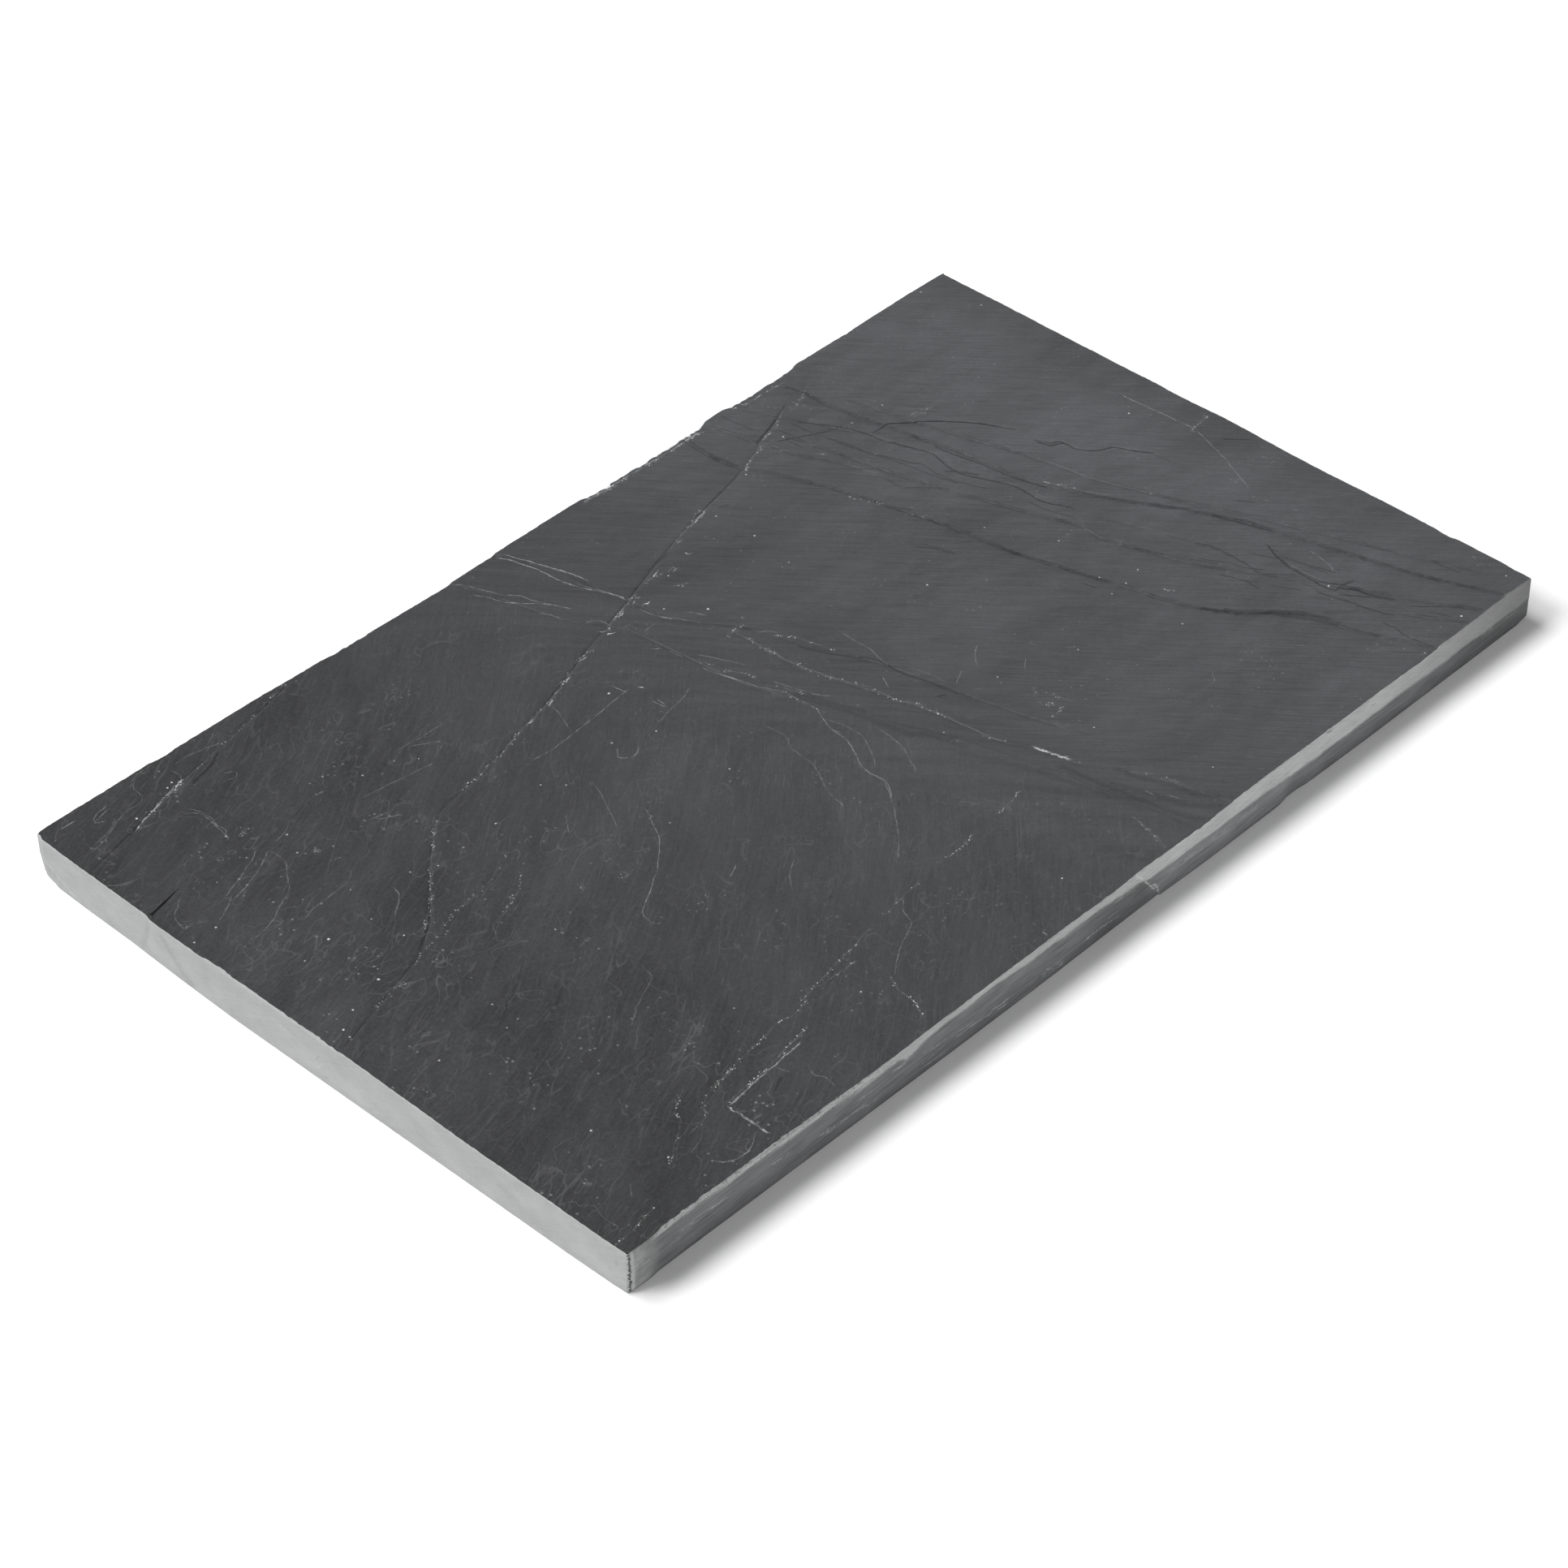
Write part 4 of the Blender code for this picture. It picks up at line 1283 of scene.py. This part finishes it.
class Nodes:
    """Short calls for building one material's nodes."""

    def __init__(self, tree):
        self.tree = tree

    def add(self, kind, inputs, output=0, **settings):
        """Adds a node and returns one of its outputs."""
        node = self.tree.nodes.new(kind)
        for name, value in settings.items():
            setattr(node, name, value)
        for name, value in inputs.items():
            self.feed(node.inputs[name], value)
        return Wire(self, node.outputs[output])

    def feed(self, socket, value):
        if isinstance(value, Wire):
            self.tree.links.new(value.socket, socket)
        elif socket.type == "RGBA":
            socket.default_value = (*value, 1.0)
        else:
            socket.default_value = value

    def math(self, operation, *values, clamp=False):
        return self.add("ShaderNodeMath", dict(enumerate(values)), operation=operation, use_clamp=clamp)

    def most(self, a, b):
        return self.math("MAXIMUM", a, b)

    def length(self, x, y):
        return self.math("POWER", x * x + y * y, 0.5)

    def ramp(self, value, low, high, to_low=0.0, to_high=1.0, kind="SMOOTHSTEP"):
        """The value taken from one range to another, eased at both ends unless the kind is LINEAR."""
        inputs = {"Value": value, "From Min": low, "From Max": high, "To Min": to_low, "To Max": to_high}
        return self.add("ShaderNodeMapRange", inputs, interpolation_type=kind)

    def between(self, value, rise_from, rise_to, fall_from, fall_to):
        """1 from the end of the rise to the start of the fall, and 0 outside them."""
        return self.ramp(value, rise_from, rise_to) * self.ramp(value, fall_from, fall_to, 1.0, 0.0)

    def mix(self, factor, a, b):
        return self.add("ShaderNodeMix", {0: factor, 6: a, 7: b}, 2, data_type="RGBA")

    def blend(self, factor, a, b):
        return self.add("ShaderNodeMix", {0: factor, 2: a, 3: b}, data_type="FLOAT")

    def blend_vector(self, factor, a, b):
        return self.add("ShaderNodeMix", {0: factor, 4: a, 5: b}, 1, data_type="VECTOR")

    def scale_colour(self, colour, factor):
        return self.add("ShaderNodeVectorMath", {0: colour, 3: factor}, operation="SCALE")

    def vector(self, x, y, z):
        return self.add("ShaderNodeCombineXYZ", {0: x, 1: y, 2: z})

    def scaled(self, vector, lengths, turn=0.0):
        """The vector in units of a length, or of one for each axis, in axes turned about Z."""
        if isinstance(lengths, float):
            lengths = (lengths,) * 3
        inputs = {"Vector": vector, "Rotation": (0.0, 0.0, math.radians(turn)), "Scale": lengths}
        return self.add("ShaderNodeMapping", inputs, vector_type="TEXTURE")

    def noise(self, vector, lengths, detail=2.0, roughness=0.5, distortion=0.0, turn=0.0, output=0):
        """Noise that varies over the lengths: one for all axes, or one for each."""
        inputs = {"Vector": self.scaled(vector, lengths, turn), "Scale": 1.0, "Detail": detail,
                  "Roughness": roughness, "Distortion": distortion}
        return self.add("ShaderNodeTexNoise", inputs, output)

    def bent(self, vector, wavelength, reach):
        """The vector shifted about by slow waves."""
        waves = self.noise(vector, wavelength, 1.0, output=1)
        inputs = {0: waves, 1: (2 * reach,) * 3, 2: vector}
        return self.add("ShaderNodeVectorMath", inputs, operation="MULTIPLY_ADD")

    def dots(self, vector, spacing, share, clump):
        """Small round grains, one in a share of the cells, gathered where the clump value is high."""
        distance = self.add("ShaderNodeTexVoronoi", {"Vector": self.scaled(vector, spacing), "Scale": 1.0})
        chosen = self.parts(distance.sibling("Color"))[0] + (clump - 0.5)
        return self.ramp(distance, *DOT_EDGE, 1.0, 0.0) * self.ramp(chosen, 1.0 - share, 1.1 - share)

    def parts(self, vector):
        x = self.add("ShaderNodeSeparateXYZ", {0: vector})
        return x, x.sibling(1), x.sibling(2)

    def read(self, name, output="Vector"):
        return self.add("ShaderNodeAttribute", {}, output, attribute_name=name)


def pale_mask(nodes, waver, fade, grains):
    """The strongest pale stroke at each point: a fine line that comes and goes, with grains along it."""
    total = 0.0
    for i in range(PALE_LAYERS):
        distance, strength, grit = nodes.parts(nodes.read(f"pale_{i}"))
        off = abs(distance + waver)
        line = nodes.ramp(off, *PALE_LINE_EDGE, 1.0, 0.0) * fade * (1.0 - grit * GRIT_BREAKS_LINE)
        zone = nodes.ramp(off, *PALE_GRAIN_EDGE, 1.0, 0.0) * grit
        total = nodes.most(nodes.most(line, zone * grains) * strength, total)
    return total


def dark_mask(nodes, waver, fade, place):
    """The strongest dark stroke at each point: soft edged, and parted by its grit into strands along it."""
    total = 0.0
    x, y, _ = nodes.parts(nodes.scaled(place, STRAND_LENGTH))
    slow = nodes.ramp(nodes.noise(place, 28.0, 2.0, 0.6), 0.36, 0.60, 0.35, 1.0)
    broken = slow * (fade * 0.5 + 0.5)
    for i in range(DARK_LAYERS):
        distance, strength, grit = nodes.parts(nodes.read(f"dark_{i}"))
        off = waver * DARK_WAVER + distance
        line = nodes.ramp(abs(off), *DARK_LINE_EDGE, 1.0, 0.0)
        strands = nodes.noise(nodes.vector(x, y, off * STRANDS), 1.0, 2.0, 0.6)
        strands = nodes.ramp(strands, 0.34, 0.60, 0.12, 1.0) * broken
        kept = (strands - 1.0) * grit + 1.0
        total = nodes.most(line * kept * strength, total)
    return total


def speck_mask(nodes, ragged):
    """Bright specks with ragged outlines."""
    total = 0.0
    for i in range(SPECK_LAYERS):
        x, y, strength = nodes.parts(nodes.read(f"speck_{i}"))
        mark = nodes.ramp(nodes.length(x, y) + ragged * SPECK_RAGGED, *SPECK_EDGE, 1.0, 0.0)
        total = nodes.most(mark * strength, total)
    return total


def new_material(name, grey):
    material = bpy.data.materials.new(name)
    material.use_nodes = True
    material.diffuse_color = (*grey, 1.0)
    tree = material.node_tree
    return material, Nodes(tree), tree.nodes["Principled BSDF"]


def finish_material(nodes, shader, colour, height, strength, rough):
    """Feeds the shader its colour, its fine relief, given in millimetres, and its roughness."""
    relief = nodes.add("ShaderNodeBump", {"Strength": strength, "Distance": MM, "Height": height})
    for name, value in (("Normal", relief), ("Base Color", colour), ("Roughness", rough)):
        nodes.feed(shader.inputs[name], value)


def riven_slate():
    """The dark split face: clouded, streaked along its grain, with faint lips, crystals, and ledges darkened
    partly by painted shade.
    """
    material, nodes, shader = new_material("riven_slate", RIVEN_GREY)
    place = nodes.read("place")
    x, y, _ = nodes.parts(place)
    far = nodes.ramp(y * GRAIN_SWITCH_SLOPE + x, GRAIN_SWITCH - GRAIN_BLEND, GRAIN_SWITCH + GRAIN_BLEND)
    near_end = nodes.ramp(x, *NEAR_END, 1.0, 0.0)
    rise = (x * NEAR_FLOW_CURVE + NEAR_FLOW_SLOPE) * x
    flow = nodes.bent(nodes.vector(x, (y - rise) * NEAR_FLOW_SQUEEZE, 0.0), 55.0, 7.0)
    curled = nodes.bent(place, 45.0, 22.0)
    spread = nodes.blend_vector(far, flow, place)

    # The tone is several noises added up, each with a weight at the near end, the near half and the far half.
    cloud = nodes.noise(spread, (130.0, 45.0, 45.0), 2.0)
    mottle = nodes.noise(spread, (34.0, 13.0, 13.0), 6.0, 0.62)
    fine = nodes.noise(place, 2.4, 3.0, 0.7)
    near_streak = nodes.noise(flow, (30.0, 2.0, 8.0), 4.0, 0.65)
    far_streak = nodes.noise(place, (34.0, 1.4, 8.0), 4.0, 0.62, turn=FAR_GRAIN_ANGLE)
    streak = nodes.blend(far, near_streak, far_streak)
    tone = (cloud - 0.5) * nodes.blend(near_end, 0.6, 1.1) + 1.0
    for layer, end_weight, near_weight, far_weight in (
            (mottle, 0.85, 0.45, 0.4), (fine, 1.3, 0.7, 0.4), (streak, 0.65, 0.5, 0.9)):
        tone += (layer - 0.5) * nodes.blend(near_end, nodes.blend(far, near_weight, far_weight), end_weight)
    # Painted shading along x: darker at the near end, lighter at the far end.
    tone *= nodes.ramp(x, 0.0, LENGTH, NEAR_END_SHADED_TONE, FAR_END_LIT_TONE, "LINEAR")
    tone *= nodes.read("shade", "Fac") + 1.0
    colour = nodes.scale_colour(RIVEN_GREY, tone)

    # Faint lips, dashes and dust, which come and go in patches.
    patchy = nodes.noise(place, 38.0, 3.0, 0.6)
    seen = nodes.ramp(patchy, 0.38, 0.62, 0.25, 1.0) * nodes.blend(far, 0.6, 0.15) + near_end * 0.3
    faint = 0.0
    for lie, long, wide, thin, strength in FAINT_LIPS:
        vector = {"flow": flow, "curled": curled}[lie]
        away = abs(nodes.noise(vector, (long, wide, wide), 2.5) - 0.5)
        faint = nodes.most(nodes.ramp(away, 0.0, thin, 1.0, 0.0) * strength, faint)
    near_dash = nodes.noise(flow, (11.0, 0.9, 3.0), 2.0, 0.55)
    far_dash = nodes.noise(place, (11.0, 0.8, 3.0), 2.0, 0.55, turn=FAR_GRAIN_ANGLE)
    dashes = nodes.ramp(nodes.blend(far, near_dash, far_dash), 0.62, 0.80, 0.0, 0.07)
    dust = nodes.dots(place, 2.6, 0.02, patchy) * nodes.blend(near_end, 0.08, 0.2)
    faint = faint * seen + nodes.most(dashes, dust)

    # The placed marks, with ragged edges: pale ones over dark ones.
    ragged = nodes.noise(place, 5.0, 4.0, 0.72) - 0.5
    waver = ragged * 3.4
    clump = nodes.noise(place, 6.0, 2.0, 0.6)
    fade = nodes.ramp(nodes.noise(place, 6.0, 3.0, 0.7), 0.36, 0.62, 0.2, 1.0)
    grains = nodes.dots(place, 1.4, 0.0, clump * 3.2 - 0.75)
    broken = nodes.ramp(nodes.read("crushed", "Fac") * clump, 0.25, 0.5, 0.0, 0.9)
    pale = nodes.most(pale_mask(nodes, waver, fade, grains) + faint, speck_mask(nodes, ragged))
    # The dark strokes are cracks and dark layer edges, and painted shade along the feet of the ledges.
    dark = dark_mask(nodes, waver, fade, place)
    colour = nodes.mix(dark * 0.92, colour, DARK_MARK)
    colour = nodes.mix(nodes.most(pale, broken), colour, PALE_MARK)

    height = mottle * 0.35 + streak * 0.16 + fine * 0.07 - dark * 0.2
    rough = nodes.math("ADD", nodes.ramp(mottle, 0.3, 0.7, 0.52, 0.64), dark * 0.4, clamp=True)
    finish_material(nodes, shader, colour, height, 0.9, rough)
    shader.inputs["Specular IOR Level"].default_value = RIVEN_SHEEN
    return material


def cut_slate():
    """The sides: pale where the saw passed, darker and foliated where the stone snapped."""
    material, nodes, shader = new_material("cut_slate", SAWN_GREY)
    place = nodes.read("place")
    x, y, z = nodes.parts(place)
    fine = nodes.noise(place, 2.2, 3.0, 0.65)
    mottle = nodes.noise(place, (22.0, 22.0, 14.0), 4.0, 0.6)
    leaves = nodes.noise(place, (38.0, 38.0, 1.6), 4.0, 0.6, 0.3)
    scores = nodes.noise(nodes.vector(x, y, z - x * 0.10), (34.0, 34.0, 0.9), 3.0, 0.6)
    saw_lines = nodes.noise(nodes.vector((x + y) * 0.45 + z * 0.9, x * 0.03, 0.0), 1.0, 2.0, 0.6)

    # Where the stone is sawn: above the band's foot, which wavers, and all the way down at the near corner.
    front = nodes.ramp(y, *FRONT_DEPTH, 1.0, 0.0)
    near_front = nodes.between(x, *NEAR_FRONT)
    streaky = (scores - 0.5) * 9.0
    waver = (mottle - 0.5) * 5.0 + (fine - 0.5) * nodes.blend(near_front, 1.2, 5.0)
    band = nodes.read("band", "Fac") + waver + streaky * near_front
    band = nodes.ramp(band / nodes.blend(near_front, 2.0, 2.6), -0.7, 0.7)
    corner_pale = front * nodes.ramp(streaky * 1.6 + x, *CORNER_PALE, 1.0, 0.0)
    sawn = nodes.most(band, corner_pale)

    # Sawn stone: mottled, with saw lines across it. It is darker at the far end and blotched at the corner.
    tone = mottle * 0.36 + 0.73
    tone += (saw_lines - 0.5) * nodes.blend(front, 0.2, 0.36)
    tone += (leaves - 0.5) * (near_front * 0.9)
    tone += (scores - 0.5) * (front * 0.7)
    tone -= nodes.ramp(fine, 0.52, 0.64) * nodes.blend(near_front, 0.04, 0.4)
    far_shade = front * nodes.ramp(x, *FAR_SHADE, 0.0, 0.62, "LINEAR")
    blotch = front * nodes.between(x, *CORNER_BLOTCH) * nodes.ramp(mottle, 0.3, 0.7, 0.15, 0.6)
    tone *= 1.0 - nodes.most(far_shade, blotch)
    tone *= front * nodes.ramp(x, *PAST_BREAK, 0.0, 0.10) + 1.0
    sawn_colour = nodes.scale_colour(SAWN_GREY, tone)

    # Snapped stone: foliated, darker towards the foot, partly by painted shade, and before the break, and
    # lighter after it.
    tone = leaves * 1.7 + mottle * 0.5 + (scores - 0.5) * 1.1 - 0.1
    tone *= 1.0 - front * nodes.ramp(x, *FAR_SNAPPED_SHADE, 0.0, 0.38)
    tone *= front * (nodes.between(x, *AFTER_BREAK) * 0.32 - nodes.between(x, *BEFORE_BREAK) * 0.3) + 1.0
    snapped_colour = nodes.mix(nodes.ramp(z, 0.0, 22.0), SNAPPED_FOOT_GREY, SNAPPED_GREY)
    colour = nodes.mix(sawn, nodes.scale_colour(snapped_colour, tone), sawn_colour)
    # Painted contact shade: the front darkens to half its tone at the floor.
    colour = nodes.scale_colour(colour, 1.0 - front * nodes.ramp(z, 0.0, FOOT_SHADE, 0.5, 0.0))

    # The placed marks, crushed stone along the arris, and dirt in the near corner.
    grit = nodes.noise(place, (3.0, 3.0, 1.2), 2.0, 0.6)
    waver = (grit - 0.5) * 1.4
    fade = nodes.ramp(nodes.noise(place, (8.0, 8.0, 2.0), 3.0, 0.65), 0.36, 0.62, 0.1, 1.0)
    # The front's dark marks include a painted contact shadow along its foot.
    dark = dark_mask(nodes, waver, fade, place)
    pale = pale_mask(nodes, waver, fade, nodes.ramp(grit, 0.5, 0.62))
    broken = nodes.ramp(nodes.read("crushed", "Fac") * grit, 0.2, 0.45, 0.0, 0.9)
    corner = nodes.length(x, y) + (grit - 0.5) * 5.0
    dirt = nodes.ramp(corner, 0.25, 0.95, 0.9, 0.0)
    for factor, over in ((dark * 0.85, SNAPPED_FOOT_GREY), (pale * 0.75, CRUSHED_STONE),
                         (broken, CRUSHED_STONE), (dirt, DARK_MARK)):
        colour = nodes.mix(factor, colour, over)

    rough_height = mottle * 0.5 + leaves * 0.35
    sawn_height = fine * 0.05 + saw_lines * 0.06
    height = fine * 0.08 + nodes.blend(sawn, rough_height, sawn_height)
    finish_material(nodes, shader, colour, height, 0.8, nodes.blend(sawn, 0.6, 0.75))
    return material


def add_object(name, data):
    new = bpy.data.objects.new(name, data)
    bpy.context.scene.collection.objects.link(new)
    return new


def add_stone(corner):
    mesh = build_stone(corner)
    mesh.materials.append(riven_slate())
    mesh.materials.append(cut_slate())
    mesh.validate()
    mesh.shade_smooth()
    mesh.set_sharp_from_angle(angle=math.radians(SHARP_ANGLE))
    stone = add_object("slab_stone", mesh)
    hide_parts("slab")
    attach(stone, "root")


def add_floor():
    mesh = bpy.data.meshes.new("floor")
    half = FLOOR_SIZE / 2
    corners = [(-half, -half, 0), (half, -half, 0), (half, half, 0), (-half, half, 0)]
    mesh.from_pydata(corners, [], [(0, 1, 2, 3)])
    material, _, shader = new_material("white_floor", FLOOR_WHITE)
    shader.inputs["Base Color"].default_value = (*FLOOR_WHITE, 1.0)
    shader.inputs["Roughness"].default_value = 1.0
    shader.inputs["Specular IOR Level"].default_value = 0.0
    mesh.materials.append(material)
    add_object("floor", mesh)


def add_sun(name, azimuth, elevation, strength, spread):
    """A soft sun that shines from an azimuth (from +X towards +Y) and an elevation, all in degrees."""
    light = bpy.data.lights.new(name, "SUN")
    light.energy = strength
    light.angle = math.radians(spread)
    a, e = math.radians(azimuth), math.radians(elevation)
    source = Vector((math.cos(a) * math.cos(e), math.sin(a) * math.cos(e), math.sin(e)))
    add_object(name, light).rotation_euler = source.to_track_quat("Z", "Y").to_euler()


def add_world():
    """A sky that is white at the horizon and dims overhead."""
    world = bpy.data.worlds.new("studio")
    world.use_nodes = True
    bpy.context.scene.world = world
    nodes = Nodes(world.node_tree)
    up = nodes.parts(nodes.add("ShaderNodeTexCoord", {}, "Generated"))[2]
    background = world.node_tree.nodes["Background"]
    background.inputs["Color"].default_value = (1.0, 1.0, 1.0, 1.0)
    nodes.feed(background.inputs["Strength"], nodes.ramp(up, SKY_WHITE_TO, SKY_DIM_FROM, 1.0, SKY_DIM))


def add_camera(corner):
    """The camera, built from its place, yaw, pitch and roll."""
    yaw, pitch, roll = (math.radians(a) for a in (CAMERA_YAW, CAMERA_PITCH, CAMERA_ROLL))
    forward = Vector((math.cos(yaw) * math.cos(pitch), math.sin(yaw) * math.cos(pitch), -math.sin(pitch)))
    level_right = Vector((math.sin(yaw), -math.cos(yaw), 0.0))
    level_up = level_right.cross(forward)
    right = math.cos(roll) * level_right + math.sin(roll) * level_up
    up = math.cos(roll) * level_up - math.sin(roll) * level_right
    data = bpy.data.cameras.new("camera")
    data.sensor_width = SENSOR_MM
    data.sensor_fit = "HORIZONTAL"
    data.lens = CAMERA_FOCAL_WIDTHS * SENSOR_MM
    data.clip_end = 100.0
    camera = add_object("camera", data)
    place = Vector(np.array(CAMERA_PLACE) + corner) * MM
    turn = Matrix((right, up, -forward)).transposed().to_4x4()
    camera.matrix_world = Matrix.Translation(place) @ turn
    bpy.context.scene.camera = camera


def main():
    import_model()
    low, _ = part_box("slab")
    # The solid's lowest x and y are its feet, on the left side and, past the break, on the front.
    left_proud = max(out for _, out in LEFT_FOOT_OUT)
    front_proud = max(out for _, out in FRONT_FOOT_OUT[8:]) + BREAK_STEP
    corner = np.array([low.x / MM + left_proud, low.y / MM + front_proud, 0.0])

    add_stone(corner)
    add_floor()
    add_world()
    for sun in SUNS:
        add_sun(*sun)
    add_camera(corner)
    scene = bpy.context.scene
    scene.view_settings.view_transform = "Standard"


main()
